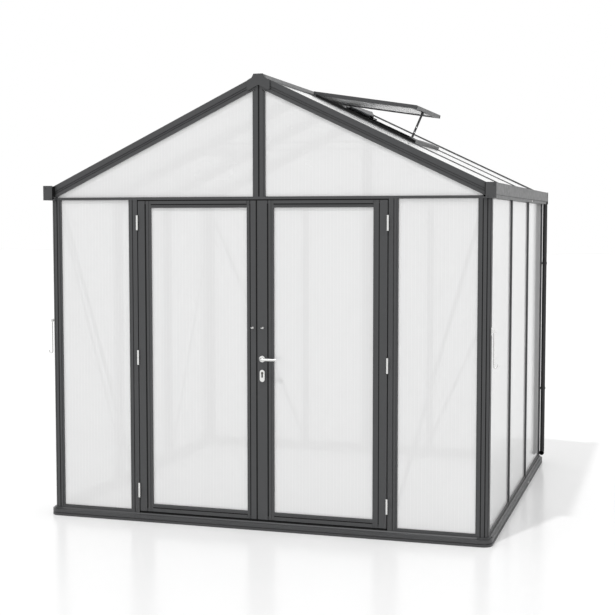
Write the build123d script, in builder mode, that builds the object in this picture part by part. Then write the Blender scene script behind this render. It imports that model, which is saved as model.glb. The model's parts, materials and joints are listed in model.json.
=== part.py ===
"""Garden greenhouse: aluminium frame, twin-wall panes, double door, roof vent.

Millimetres. X runs to the right, Y to the back, Z up. The origin is on the
ground in the middle of the frame. Every piece is drawn in its rest position.
"""

import os
from math import cos, radians, sin, sqrt, tan

from build123d import *

os.makedirs("parts", exist_ok=True)

# Overall sizes
frame_width = 2700.0
frame_depth = 2594.0
eave_height = 1990.0
roof_pitch = 25.5
wall_top = 1945.0
wall_depth = 62.0
metal = 2.5
touch_gap = 0.3
joint_gap = 0.05
run_fit = 0.05

# Base sill
sill_height = 50.0
sill_proud = 20.0
sill_ledge = 12.0
sill_corner_radius = 55.0
rail_height = 18.0
rail_floor = 2.0

# Panes and the wings that hold them
pane_thick = 16.0
pane_recess = 10.0
pane_end = 2.0
flute_pitch = 21.0
flute_rib = 1.0
flute_skin = 1.2
wing = 11.0
bead_recess = 3.0
back_lip = 6.0
groove_width = 6.0
groove_depth = 6.0

# Wall members
post_round = 40.0
bar_box = 22.0
mullion_box = 54.0
side_bar_y = 418.0
rear_bar_x = 502.0
jamb_inner = 772.0
jamb_box = 45.0
stop_depth = 19.0
stop_reach = 16.0
stop_height = 20.0
beam_height = 16.0
beam_slot = 6.0

# Roof members
rafter_width = 45.0
rafter_depth = 42.0
rafter_slot = 12.0
roof_bar_box = 60.0
roof_bar_depth = 40.0
cap_web = 8.0
cap_width = 34.0
cap_thick = 5.0
cap_lift = 0.4
ridge_half = 24.0
ridge_drop = 65.5
ridge_end = 8.0
ridge_rise = 30.0
ridge_flat = 28.0
ridge_lip = 46.0
trimmer_start = 742.0
trimmer_width = 54.0
trimmer_rise = 39.0
verge_high = 26.0
verge_thick = 3.0
verge_deep = 20.0
tie_height = 14.0
tie_thick = 4.0
tie_drop = 306.0
tie_reach = 612.0
gusset_thick = 6.0
gusset_reach = 62.0
gusset_drop = 95.0

# Gutter and downpipe
gutter_out = 28.0
gutter_in = 44.0
gutter_top = 2031.0
gutter_floor = 25.0
gutter_wall = 3.0
gutter_overhang = 26.0
gutter_tail = 47.5
cap_plate = 4.0
pipe_radius = 16.0
pipe_wall = 2.0
pipe_off = 2.5
pipe_inset = 34.0
pipe_foot = 105.0
pipe_bend = 24.0
clip_height = 14.0
clip_places = (0.288, 0.771)

# Braces
brace_width = 22.0
brace_thick = 4.0
brace_foot = 110.0
brace_top_end = 1915.0
brace_top_side = 1800.0
bolt_radius = 6.0
bolt_head = 4.0

# Door leaves
leaf_gap = 6.0
leaf_depth = 40.0
leaf_recess = 12.0
leaf_wing = 16.0
leaf_bottom = 62.0
leaf_top = 1938.0
hinge_stile = 83.0
meet_stile_left = 58.0
meet_stile_right = 101.0
rail_top = 41.0
rail_bottom = 46.0
meet_x = -15.5
hinge_out = 8.0
hinge_radius = 6.5
hinge_pin = 4.0
hinge_height = 88.0
hinge_plate = 2.0
hinge_plate_deep = 32.0
hinge_zs = (191.0, 1000.0, 1809.0)

# Lock and lever
lever_x = 20.0
lever_z = 1015.0
lever_length = 102.0
lever_thick = 15.0
lever_out = 46.0
neck_radius = 8.0
spindle_radius = 5.0
rose_radius = 18.5
rose_thick = 8.0
key_z = 932.0
plug_radius = 7.0
plate_z = 916.0
plate_tall = 71.0
plate_wide = 30.0
case_depth = 16.0
case_back = 66.0
case_low = 905.0
case_high = 1060.0
bolt_thick = 12.0
latch_tall = 18.0
latch_out = 2.5
latch_long = 15.0
dead_z = 969.0
dead_tall = 26.0
dead_long = 34.0
strike_thick = 1.5

# Tower bolts on the left leaf
tower_x = -47.0
tower_off = 12.0
tower_radius = 5.0
tower_long = 210.0
tower_plate = 3.0
tower_clear = 3.0

# Hook eyes and storm hooks
eye_ring = 8.0
eye_wire = 2.2
eye_out = 16.0
eye_z = 1197.0
eye_left_x = -38.0
eye_right_x = 23.0
hook_z = 1207.0
hook_y = 35.0
hook_out = 16.0
hook_wire = 3.5
hook_drop = 192.0
hook_curl = 11.0
hook_pin = 3.0
hook_eye = 8.0
hook_eye_wide = 10.0

# Roof vent
vent_open = 16.5
vent_axis_x = 54.0
vent_axis_lift = 32.0
vent_length = 692.0
vent_half = 396.0
vent_low = 12.0
vent_high = 11.0
vent_start = 8.5
vent_box = 18.0
vent_wing = 12.0
vent_pane_thick = 10.0
vent_barrel = 6.5
vent_pin = 3.0
vent_knuckle = 24.0
vent_hinge_ys = (-300.0, 0.0, 300.0)
stay_y = -138.0
stay_thick = 4.0
stay_wide = 14.0
stay_long = 235.0
stay_lean = 23.8
stay_back = 12.0
stay_pin = 3.0
seal_width = 12.0
seal_rise = 19.5
band_width = 20.0
band_rise = 14.0
tube_radius = 10.0
tube_start = 52.0
tube_long = 195.0
tube_cap_long = 24.0
tube_tail = 30.0

# Values that follow from the sizes above
half_w = frame_width / 2
half_d = frame_depth / 2
front = -half_d
slope = tan(radians(roof_pitch))
cos_p = cos(radians(roof_pitch))
sin_p = sin(radians(roof_pitch))
apex = eave_height + half_w * slope
tie_z = apex - tie_drop
post_in = half_w - wall_depth
gutter_chamber = half_w - gutter_in
pipe_x = half_w + pipe_radius + pipe_off
pipe_y = half_d - pipe_inset
pane_back = pane_recess + pane_thick
lip_front = pane_recess - touch_gap
slot_back = pane_back + touch_gap
lip_back = slot_back + back_lip
rail_top_z = sill_height + rail_height
pane_foot = sill_height + rail_floor
hinge_axis_x = jamb_inner - leaf_gap / 2
leaf_edge = jamb_inner - leaf_gap
left_edge = meet_x - leaf_gap / 2
right_edge = meet_x + leaf_gap / 2
pane_lift = cap_lift / 2
tower_y = front + leaf_depth + tower_off
keeper = tower_radius + 0.6
keeper_x = (tower_x - keeper, tower_x + keeper)
keeper_y = (tower_y - keeper, tower_y + keeper)


def roof_point(along, lift, y=0.0):
    """Point of the right slope: distance down the slope and height above its plane."""
    return (along * cos_p + lift * sin_p, y, apex - along * sin_p + lift * cos_p)


def roof_z(x, lift=0.0):
    """Height of the plane parallel to the slope at distance x from the middle."""
    return apex - abs(x) * slope + lift / cos_p


def roof_section(along, y=0.0):
    """Plane across the slope: its x runs to the back and its y away from the roof."""
    return Plane(origin=roof_point(along, 0, y), x_dir=(0, 1, 0), z_dir=(cos_p, 0, -sin_p))


def rect(x, y):
    """Rectangle between the two values of each axis."""
    with BuildSketch() as shape:
        with Locations((sum(x) / 2, sum(y) / 2)):
            Rectangle(abs(x[1] - x[0]), abs(y[1] - y[0]))
    return shape.sketch


def hollow(x, y, wall=metal):
    """Rectangular tube section between the two values of each axis."""
    with BuildSketch() as shape:
        add(rect(x, y))
        add(rect((x[0] + wall, x[1] - wall), (y[0] + wall, y[1] - wall)), mode=Mode.SUBTRACT)
    return shape.sketch


def fluted(width, thick):
    """Twin-wall sheet section, centred across its width and standing on y = 0."""
    cells = int((width - 2 * flute_skin) / flute_pitch)
    cell = (width - 2 * flute_skin) / cells
    with BuildSketch() as shape:
        with Locations((0, thick / 2)):
            Rectangle(width, thick)
            with GridLocations(cell, 1, cells, 1):
                Rectangle(cell - flute_rib, thick - 2 * flute_skin, mode=Mode.SUBTRACT)
    return shape.sketch


def wings(edge, side):
    """The two lips that hold a wall pane beside a member whose box ends at edge."""
    tip = edge + side * wing
    span = (min(edge, tip), max(edge, tip))
    with BuildSketch() as shape:
        add(rect(span, (bead_recess, lip_front)))
        add(rect(span, (slot_back, lip_back)))
    return shape.sketch


def bar_profile(box, groove=False):
    """Wall bar section: tube with pane wings on both sides, y pointing into the house."""
    with BuildSketch() as shape:
        add(hollow((-box / 2, box / 2), (0, wall_depth)))
        add(wings(box / 2, 1))
        add(wings(-box / 2, -1))
        if groove:
            lining = groove_width / 2 + metal
            add(rect((-lining, lining), (0, groove_depth + metal)))
            add(rect((-groove_width / 2, groove_width / 2), (0, groove_depth)), mode=Mode.SUBTRACT)
    return shape.sketch


def leaf_profile(total, groove_at=None):
    """Door member section from its outer edge (x = 0) to the pane, y pointing into the house."""
    box = total - leaf_wing
    with BuildSketch() as shape:
        add(hollow((0, box), (0, leaf_depth)))
        add(rect((box, total), (bead_recess, leaf_recess - touch_gap)))
        add(rect((box, total), (leaf_recess + pane_thick + touch_gap, leaf_depth - bead_recess)))
        if groove_at:
            lining = groove_width / 2 + metal
            low = max(groove_at - lining, 0)
            high = min(groove_at + lining, box)
            add(rect((low, high), (0, groove_depth + metal)))
            cut = (groove_at - groove_width / 2, groove_at + groove_width / 2)
            add(rect(cut, (0, groove_depth)), mode=Mode.SUBTRACT)
    return shape.sketch


def slab(x, y, z, mode=Mode.ADD):
    """Box between the two values of each axis, in the current part."""
    with Locations((sum(x) / 2, sum(y) / 2, sum(z) / 2)):
        Box(abs(x[1] - x[0]), abs(y[1] - y[0]), abs(z[1] - z[0]), mode=mode)


def rod(start, direction, radius, length, mode=Mode.ADD):
    """Round bar from a point along a direction, in the current part."""
    with Locations(Plane(origin=start, z_dir=direction)):
        Cylinder(radius, length, align=(Align.CENTER, Align.CENTER, Align.MIN), mode=mode)


# Base sill
sill_depth = sill_proud + wall_depth
sill_step = 37.0
sill_groove_z = 14.0


def sill_profile():
    """Sill section: x inwards from the outer face, y up."""
    with BuildSketch() as shape:
        with BuildLine():
            Polyline(
                (0, 0),
                (sill_depth, 0),
                (sill_depth, sill_height),
                (sill_ledge + 4, sill_height),
                (sill_ledge, sill_height - 6),
                (0, sill_height - 10),
                close=True,
            )
        make_face()
        inner = sill_depth - metal
        skin = groove_depth + metal
        add(rect((skin, inner), (metal, sill_step)), mode=Mode.SUBTRACT)
        add(rect((sill_ledge + 6, inner), (sill_step, sill_height - metal)), mode=Mode.SUBTRACT)
        add(rect((0, groove_depth), (sill_groove_z, sill_groove_z + groove_width)), mode=Mode.SUBTRACT)
    return shape.sketch


with BuildPart() as sill_ends:
    with BuildSketch(Plane(origin=(-post_in, front - sill_proud, 0), x_dir=(0, 1, 0), z_dir=(1, 0, 0))):
        add(sill_profile())
    extrude(amount=2 * post_in)
    mirror(about=Plane.XZ)
    keeper_z = sill_height - 2 * metal
    slab(keeper_x, keeper_y, (keeper_z, keeper_z + 3 * metal), Mode.SUBTRACT)
sill_ends.part.label = "sill_ends"
export_step(sill_ends.part, "parts/sill_ends.step")

side_run = half_d - wall_depth
with BuildPart() as sill_sides:
    with BuildSketch(Plane(origin=(half_w + sill_proud, -side_run, 0), x_dir=(-1, 0, 0), z_dir=(0, 1, 0))):
        add(sill_profile())
    extrude(amount=2 * side_run)
    mirror(about=Plane.YZ)
sill_sides.part.label = "sill_sides"
export_step(sill_sides.part, "parts/sill_sides.step")


def corner_outline(inset, radius):
    """Outline of a front right corner piece, moved in from the outer faces."""
    x = (post_in, half_w + sill_proud - inset)
    y = (front - sill_proud + inset, front + wall_depth)
    with BuildSketch() as shape:
        add(rect(x, y))
        outer = shape.vertices().sort_by(Axis.X)[-2:].sort_by(Axis.Y)[0]
        fillet(outer, radius)
    return shape.sketch


with BuildPart() as sill_corners:
    with BuildSketch(Plane.XY):
        add(corner_outline(0, sill_corner_radius))
    extrude(amount=sill_groove_z)
    with BuildSketch(Plane.XY.offset(sill_groove_z)):
        add(corner_outline(groove_depth, sill_corner_radius - groove_depth))
    extrude(amount=groove_width)
    with BuildSketch(Plane.XY.offset(sill_groove_z + groove_width)):
        add(corner_outline(0, sill_corner_radius))
    extrude(amount=sill_height - 10 - sill_groove_z - groove_width)
    with BuildSketch(Plane.XY.offset(sill_height - 10)):
        add(corner_outline(sill_ledge, sill_corner_radius - sill_ledge))
    extrude(amount=10)
    with BuildSketch(Plane.XY):
        add(corner_outline(groove_depth + metal, sill_corner_radius - groove_depth - metal))
    extrude(amount=sill_step, mode=Mode.SUBTRACT)
    with BuildSketch(Plane.XY):
        add(rect((post_in, post_in + metal), (front - sill_proud + 20, front + wall_depth)))
        add(rect((post_in, half_w + sill_proud - 20), (front + wall_depth - metal, front + wall_depth)))
    extrude(amount=sill_step)
    mirror(about=Plane.YZ)
    mirror(about=Plane.XZ)
sill_corners.part.label = "sill_corners"
export_step(sill_corners.part, "parts/sill_corners.step")

# Posts, jambs and wall bars
wall_run = wall_top - sill_height
with BuildPart() as corner_posts:
    with BuildSketch(Plane.XY.offset(sill_height)) as post_sketch:
        add(rect((post_in, half_w), (front, front + wall_depth)))
        outer = post_sketch.vertices().sort_by(Axis.X)[-2:].sort_by(Axis.Y)[0]
        fillet(outer, post_round)
        offset(amount=-metal, mode=Mode.SUBTRACT)
        centre_x = half_w - post_round
        centre_y = front + post_round
        lining = groove_width + 2 * metal
        for turn in (-62, -28):
            reach = post_round - (groove_depth + metal) / 2
            with Locations((centre_x + reach * cos(radians(turn)), centre_y + reach * sin(radians(turn)))):
                Rectangle(groove_depth + metal - 0.6, lining, rotation=turn)
            with Locations((centre_x + post_round * cos(radians(turn)), centre_y + post_round * sin(radians(turn)))):
                Rectangle(2 * groove_depth, groove_width, rotation=turn, mode=Mode.SUBTRACT)
        add(rect((centre_x - lining, centre_x), (front, front + groove_depth + metal)))
        cut_x = centre_x - lining / 2
        cut_y = centre_y + lining / 2
        cut = groove_width / 2
        add(rect((cut_x - cut, cut_x + cut), (front, front + groove_depth)), mode=Mode.SUBTRACT)
        add(rect((half_w - groove_depth - metal, half_w), (centre_y, centre_y + lining)))
        add(rect((half_w - groove_depth, half_w), (cut_y - cut, cut_y + cut)), mode=Mode.SUBTRACT)
        add(rect((post_in - wing, post_in), (front + bead_recess, front + lip_front)))
        add(rect((post_in - wing, post_in), (front + slot_back, front + lip_back)))
        post_end = front + wall_depth
        add(rect((half_w - lip_front, half_w - bead_recess), (post_end, post_end + wing)))
        add(rect((half_w - lip_back, half_w - slot_back), (post_end, post_end + wing)))
    extrude(amount=wall_run)
    mirror(about=Plane.YZ)
    mirror(about=Plane.XZ)
corner_posts.part.label = "corner_posts"
export_step(corner_posts.part, "parts/corner_posts.step")

jamb_outer = jamb_inner + jamb_box
stop_edge = jamb_inner - stop_reach
stop_front = wall_depth - stop_depth
with BuildPart() as door_jambs:
    with BuildSketch(Plane(origin=(0, front, sill_height), x_dir=(1, 0, 0), z_dir=(0, 0, 1))):
        add(hollow((jamb_inner, jamb_outer), (0, wall_depth)))
        add(wings(jamb_outer, 1))
        add(hollow((stop_edge, jamb_inner + metal), (stop_front, wall_depth)))
        bead = jamb_inner + 30
        lining = groove_width / 2 + metal
        add(rect((bead - lining, bead + lining), (0, groove_depth + metal)))
        add(rect((bead - groove_width / 2, bead + groove_width / 2), (0, groove_depth)), mode=Mode.SUBTRACT)
    extrude(amount=wall_run)
    mirror(about=Plane.YZ)
door_jambs.part.label = "door_jambs"
export_step(door_jambs.part, "parts/door_jambs.step")

with BuildPart() as rear_wall_bars:
    for x, box in ((-rear_bar_x, bar_box), (0, mullion_box), (rear_bar_x, bar_box)):
        with BuildSketch(Plane(origin=(x, half_d, sill_height), x_dir=(-1, 0, 0), z_dir=(0, 0, 1))):
            add(bar_profile(box))
        extrude(amount=wall_run)
rear_wall_bars.part.label = "rear_wall_bars"
export_step(rear_wall_bars.part, "parts/rear_wall_bars.step")

with BuildPart() as side_wall_bars:
    for y in (-side_bar_y, side_bar_y):
        with BuildSketch(Plane(origin=(half_w, y, sill_height), x_dir=(0, 1, 0), z_dir=(0, 0, 1))):
            add(bar_profile(bar_box))
        extrude(amount=wall_run)
    mirror(about=Plane.YZ)
side_wall_bars.part.label = "side_wall_bars"
export_step(side_wall_bars.part, "parts/side_wall_bars.step")

# Tie beams over the walls and the mullions of the gables
beam_end = gutter_chamber
beam_top = wall_top + beam_height


def beam_profile():
    """Tie beam section: x up, y into the house."""
    slot = (lip_front, slot_back)
    with BuildSketch() as shape:
        add(rect((0, beam_height), (0, wall_depth)))
        add(rect((0, beam_slot), slot), mode=Mode.SUBTRACT)
        add(rect((beam_height - beam_slot, beam_height), slot), mode=Mode.SUBTRACT)
        inner = (slot_back + metal, wall_depth - metal)
        add(rect((metal, beam_height - metal), inner), mode=Mode.SUBTRACT)
    return shape.sketch


with BuildPart() as tie_beams:
    with BuildSketch(Plane(origin=(beam_end, front, wall_top), x_dir=(0, 0, 1), z_dir=(-1, 0, 0))):
        add(beam_profile())
    extrude(amount=2 * beam_end)
    mirror(about=Plane.XZ)
tie_beams.part.label = "tie_beams"
export_step(tie_beams.part, "parts/tie_beams.step")

threshold_height = 8.0
with BuildPart() as door_stops:
    with BuildSketch(Plane(origin=(stop_edge, front, wall_top), x_dir=(0, 0, -1), z_dir=(-1, 0, 0))):
        add(hollow((0, stop_height), (-wall_depth, -stop_front)))
    extrude(amount=2 * stop_edge)
    with BuildSketch(Plane(origin=(stop_edge, front, sill_height), x_dir=(0, 0, 1), z_dir=(-1, 0, 0))):
        add(hollow((0, threshold_height), (bead_recess, wall_depth)))
    extrude(amount=2 * stop_edge)
    keeper_z = wall_top - stop_height - 1
    slab(keeper_x, keeper_y, (keeper_z, keeper_z + metal + 2), Mode.SUBTRACT)
    slab(keeper_x, keeper_y, (sill_height - 1, sill_height + threshold_height + 1), Mode.SUBTRACT)
door_stops.part.label = "door_stops"
export_step(door_stops.part, "parts/door_stops.step")

ridge_bottom = apex - ridge_drop
with BuildPart() as gable_mullions:
    with BuildSketch(Plane(origin=(0, front, beam_top), x_dir=(1, 0, 0), z_dir=(0, 0, 1))):
        add(bar_profile(mullion_box, groove=True))
    extrude(amount=ridge_bottom - beam_top)
    head = ridge_half - touch_gap
    slab((-head, head), (front, front + ridge_end - touch_gap), (ridge_bottom, apex - 5))
    slab((-groove_width / 2, groove_width / 2), (front, front + groove_depth), (ridge_bottom - 1, apex), Mode.SUBTRACT)
    mirror(about=Plane.XZ)
gable_mullions.part.label = "gable_mullions"
export_step(gable_mullions.part, "parts/gable_mullions.step")

# Rails that carry the wall panes, one between each two uprights
def rail_profile():
    """Pane rail section: x into the house, y up."""
    with BuildSketch() as shape:
        add(rect((bead_recess, lip_back), (0, rail_height)))
        add(rect((lip_front, slot_back), (rail_floor, rail_height)), mode=Mode.SUBTRACT)
    return shape.sketch


front_fields = [(jamb_outer, post_in)]
rear_fields = [(mullion_box / 2, rear_bar_x - bar_box / 2), (rear_bar_x + bar_box / 2, post_in)]
side_fields = [
    (-side_run, -side_bar_y - bar_box / 2),
    (-side_bar_y + bar_box / 2, side_bar_y - bar_box / 2),
    (side_bar_y + bar_box / 2, side_run),
]

with BuildPart() as pane_rails:
    for low, high in front_fields:
        with BuildSketch(Plane(origin=(low + wing, front, sill_height), x_dir=(0, 1, 0), z_dir=(1, 0, 0))):
            add(rail_profile())
        extrude(amount=high - low - 2 * wing)
    for low, high in rear_fields:
        with BuildSketch(Plane(origin=(high - wing, half_d, sill_height), x_dir=(0, -1, 0), z_dir=(-1, 0, 0))):
            add(rail_profile())
        extrude(amount=high - low - 2 * wing)
    for low, high in side_fields:
        with BuildSketch(Plane(origin=(half_w, low + wing, sill_height), x_dir=(-1, 0, 0), z_dir=(0, 1, 0))):
            add(rail_profile())
        extrude(amount=high - low - 2 * wing)
    mirror(about=Plane.YZ)
pane_rails.part.label = "pane_rails"
export_step(pane_rails.part, "parts/pane_rails.step")

# Wall panes
end_pane_top = wall_top + beam_slot - pane_end / 2
side_pane_top = wall_top + beam_slot - pane_end / 2
end_pane_run = end_pane_top - pane_foot
with BuildPart() as front_side_panes:
    for low, high in front_fields:
        with BuildSketch(Plane(origin=((low + high) / 2, front + pane_recess, pane_foot), z_dir=(0, 0, 1))):
            add(fluted(high - low - 2 * pane_end, pane_thick))
        extrude(amount=end_pane_run)
    mirror(about=Plane.YZ)
front_side_panes.part.label = "front_side_panes"
export_step(front_side_panes.part, "parts/front_side_panes.step")

with BuildPart() as rear_wall_panes:
    for low, high in rear_fields:
        centre = ((low + high) / 2, half_d - pane_recess, pane_foot)
        with BuildSketch(Plane(origin=centre, x_dir=(-1, 0, 0), z_dir=(0, 0, 1))):
            add(fluted(high - low - 2 * pane_end, pane_thick))
        extrude(amount=end_pane_run)
    mirror(about=Plane.YZ)
rear_wall_panes.part.label = "rear_wall_panes"
export_step(rear_wall_panes.part, "parts/rear_wall_panes.step")

with BuildPart() as right_wall_panes:
    for low, high in side_fields:
        centre = (half_w - pane_recess, (low + high) / 2, pane_foot)
        with BuildSketch(Plane(origin=centre, x_dir=(0, 1, 0), z_dir=(0, 0, 1))):
            add(fluted(high - low - 2 * pane_end, pane_thick))
        extrude(amount=side_pane_top - pane_foot)
right_wall_panes.part.label = "right_wall_panes"
export_step(right_wall_panes.part, "parts/right_wall_panes.step")

with BuildPart() as left_wall_panes:
    add(right_wall_panes.part)
    mirror(about=Plane.YZ)
    split(bisect_by=Plane.YZ, keep=Keep.BOTTOM)
left_wall_panes.part.label = "left_wall_panes"
export_step(left_wall_panes.part, "parts/left_wall_panes.step")

gable_foot = beam_top - beam_slot
gable_low = mullion_box / 2 + pane_end
gable_high = gutter_chamber - 2 * pane_end
gable_lift = -(rafter_depth - rafter_slot + pane_end)
with BuildPart() as gable_panes:
    centre = ((gable_low + gable_high) / 2, front + pane_recess, gable_foot)
    with BuildSketch(Plane(origin=centre, z_dir=(0, 0, 1))):
        add(fluted(gable_high - gable_low, pane_thick))
    extrude(amount=apex - gable_foot)
    split(bisect_by=Plane(origin=roof_point(0, gable_lift), z_dir=(sin_p, 0, cos_p)), keep=Keep.BOTTOM)
    mirror(about=Plane.YZ)
    mirror(about=Plane.XZ)
gable_panes.part.label = "gable_panes"
export_step(gable_panes.part, "parts/gable_panes.step")

# Gutters along the eaves
gutter_outer = half_w + gutter_out
trough_wall = half_w - 23
trough_floor = wall_top + gutter_floor
trough_in = trough_wall + gutter_wall + 1
gutter_run = frame_depth + gutter_overhang + gutter_tail
with BuildPart() as gutters:
    with BuildSketch(Plane(origin=(0, half_d + gutter_tail, 0), x_dir=(1, 0, 0), z_dir=(0, -1, 0))):
        with BuildLine():
            Polyline(
                (gutter_chamber, wall_top),
                (gutter_outer - 8, wall_top),
                (gutter_outer - 8, wall_top + 17),
                (gutter_outer, wall_top + 21),
                (gutter_outer, gutter_top),
                (gutter_outer - gutter_wall, gutter_top),
                (gutter_outer - gutter_wall, trough_floor),
                (trough_in, trough_floor),
                (trough_in, roof_z(trough_in)),
                (trough_wall, roof_z(trough_wall)),
                (trough_wall, trough_floor - 4),
                (gutter_chamber, trough_floor - 4),
                close=True,
            )
        make_face()
        slot = (half_w - slot_back, half_w - lip_front)
        add(rect(slot, (wall_top, wall_top + beam_slot)), mode=Mode.SUBTRACT)
        cell = (half_w - lip_front + metal, gutter_outer - 8 - metal)
        add(rect(cell, (wall_top + metal, trough_floor - metal)), mode=Mode.SUBTRACT)
        cell = (gutter_chamber + metal, half_w - lip_front)
        add(rect(cell, (wall_top + beam_slot + metal, trough_floor - 4 - metal)), mode=Mode.SUBTRACT)
    extrude(amount=gutter_run)
    mirror(about=Plane.YZ)
gutters.part.label = "gutters"
export_step(gutters.part, "parts/gutters.step")

with BuildPart() as gutter_end_caps:
    for low_y in (front - gutter_overhang - cap_plate, half_d + gutter_tail):
        end_y = (low_y, low_y + cap_plate)
        slab((trough_wall - 6, gutter_outer + 2), end_y, (wall_top, gutter_top + 2))
    mirror(about=Plane.YZ)
gutter_end_caps.part.label = "gutter_end_caps"
export_step(gutter_end_caps.part, "parts/gutter_end_caps.step")

with BuildPart() as downpipes:
    with BuildSketch(Plane.XY.offset(pipe_foot)):
        with Locations((pipe_x, pipe_y)):
            Circle(pipe_radius)
            Circle(pipe_radius - pipe_wall, mode=Mode.SUBTRACT)
    extrude(amount=wall_top - pipe_foot)
    with BuildSketch(Plane.XY.offset(pipe_foot)):
        with Locations((pipe_x, pipe_y)):
            Circle(pipe_radius)
            Circle(pipe_radius - pipe_wall, mode=Mode.SUBTRACT)
    revolve(axis=Axis((pipe_x, pipe_y - pipe_bend, pipe_foot), (1, 0, 0)), revolution_arc=-90)
    rod((pipe_x, pipe_y - pipe_bend, pipe_foot - pipe_bend), (0, -1, 0), pipe_radius + 2, 14)
    rod((pipe_x, pipe_y - pipe_bend + 1, pipe_foot - pipe_bend), (0, -1, 0), pipe_radius - pipe_wall, 16, mode=Mode.SUBTRACT)
    mirror(about=Plane.YZ)
downpipes.part.label = "downpipes"
export_step(downpipes.part, "parts/downpipes.step")

with BuildPart() as pipe_clips:
    for share in clip_places:
        with BuildSketch(Plane.XY.offset(share * wall_top)):
            with Locations((pipe_x, pipe_y)):
                Circle(pipe_radius + 3)
                Circle(pipe_radius + touch_gap, mode=Mode.SUBTRACT)
            add(rect((half_w, half_w + 4), (pipe_y + 8, pipe_y + 27)))
            add(rect((half_w, half_w + 4), (pipe_y - 27, pipe_y - 8)))
            with Locations((pipe_x, pipe_y)):
                Circle(pipe_radius + touch_gap, mode=Mode.SUBTRACT)
        extrude(amount=clip_height)
    split(bisect_by=Plane.YZ.offset(half_w), keep=Keep.TOP)
    mirror(about=Plane.YZ)
pipe_clips.part.label = "pipe_clips"
export_step(pipe_clips.part, "parts/pipe_clips.step")

# Ridge
lip_z = roof_z(ridge_lip, pane_thick + touch_gap)
with BuildPart() as ridge_beam:
    with BuildSketch(Plane(origin=(0, half_d - ridge_end, 0), x_dir=(1, 0, 0), z_dir=(0, -1, 0))):
        right = [
            (0, apex + ridge_rise),
            (ridge_flat, apex + ridge_rise),
            (ridge_lip, lip_z + 8),
            (ridge_lip, lip_z),
            (ridge_half, roof_z(ridge_half, pane_thick + touch_gap)),
            (ridge_half, ridge_bottom),
            (0, ridge_bottom),
        ]
        with BuildLine():
            Polyline(*right, close=True)
        make_face()
        inner = [
            (0, apex + ridge_rise - metal),
            (ridge_flat - metal, apex + ridge_rise - metal),
            (ridge_half - metal, roof_z(ridge_half, pane_thick) + 6),
            (ridge_half - metal, ridge_bottom + metal),
            (0, ridge_bottom + metal),
        ]
        with BuildLine():
            Polyline(*inner, close=True)
        make_face(mode=Mode.SUBTRACT)
        mirror(about=Plane.YZ)
    extrude(amount=frame_depth - 2 * ridge_end)
ridge_beam.part.label = "ridge_beam"
export_step(ridge_beam.part, "parts/ridge_beam.step")

with BuildPart() as ridge_end_caps:
    with BuildSketch(Plane(origin=(0, front, 0), x_dir=(1, 0, 0), z_dir=(0, -1, 0))):
        with BuildLine():
            Polyline(
                (0, apex + ridge_rise + 2),
                (ridge_flat, apex + ridge_rise + 2),
                (40, apex + 10),
                (66, apex - 4),
                (70, apex - 12),
                (70, apex - 56),
                (60, apex - 63),
                (0, apex - 32),
                close=True,
            )
        make_face()
        mirror(about=Plane.YZ)
    extrude(amount=10)
    mirror(about=Plane.XZ)
ridge_end_caps.part.label = "ridge_end_caps"
export_step(ridge_end_caps.part, "parts/ridge_end_caps.step")

# Gable rafters and roof bars
roof_run = half_w / cos_p


def rafter_profile():
    """Rafter section: x from the gable face into the house, y away from the roof."""
    with BuildSketch() as shape:
        add(hollow((0, rafter_width), (-rafter_depth + rafter_slot + metal, 0)))
        foot = (-rafter_depth, -rafter_depth + rafter_slot + metal)
        add(rect((0, slot_back + back_lip), foot))
        slot = (-rafter_depth, -rafter_depth + rafter_slot)
        add(rect((lip_front, slot_back), slot), mode=Mode.SUBTRACT)
        for line in (-8.5, -20.0):
            add(rect((0, groove_depth + metal), (line - groove_width / 2 - metal, line + groove_width / 2 + metal)))
            add(rect((0, groove_depth), (line - groove_width / 2, line + groove_width / 2)), mode=Mode.SUBTRACT)
    return shape.sketch


cap_low = pane_thick + cap_lift
cap_end = half_w - 10
rafter_seat = trough_floor - 4 + touch_gap
verge_from = (ridge_lip + 1) / cos_p
with BuildPart() as gable_rafters:
    with BuildSketch(roof_section(-80, front)):
        add(rafter_profile())
    extrude(amount=roof_run + 160)
    split(bisect_by=Plane.YZ.offset(ridge_half), keep=Keep.TOP)
    split(bisect_by=Plane.YZ.offset(trough_wall - touch_gap), keep=Keep.BOTTOM)
    split(bisect_by=Plane.XY.offset(beam_top), keep=Keep.TOP)
    slab((gutter_chamber, trough_wall), (front - 1, front + wall_depth), (beam_top - 1, rafter_seat), Mode.SUBTRACT)
    with BuildSketch(roof_section(verge_from, front)):
        add(rect((0, verge_thick), (-metal, verge_high)))
        add(rect((0, verge_deep), (verge_high - verge_thick, verge_high)))
        add(rect((verge_deep - verge_thick, verge_deep), (cap_low, verge_high)))
    extrude(amount=(trough_wall - touch_gap) / cos_p - verge_from)
    mirror(about=Plane.YZ)
    mirror(about=Plane.XZ)
gable_rafters.part.label = "gable_rafters"
export_step(gable_rafters.part, "parts/gable_rafters.step")

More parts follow.
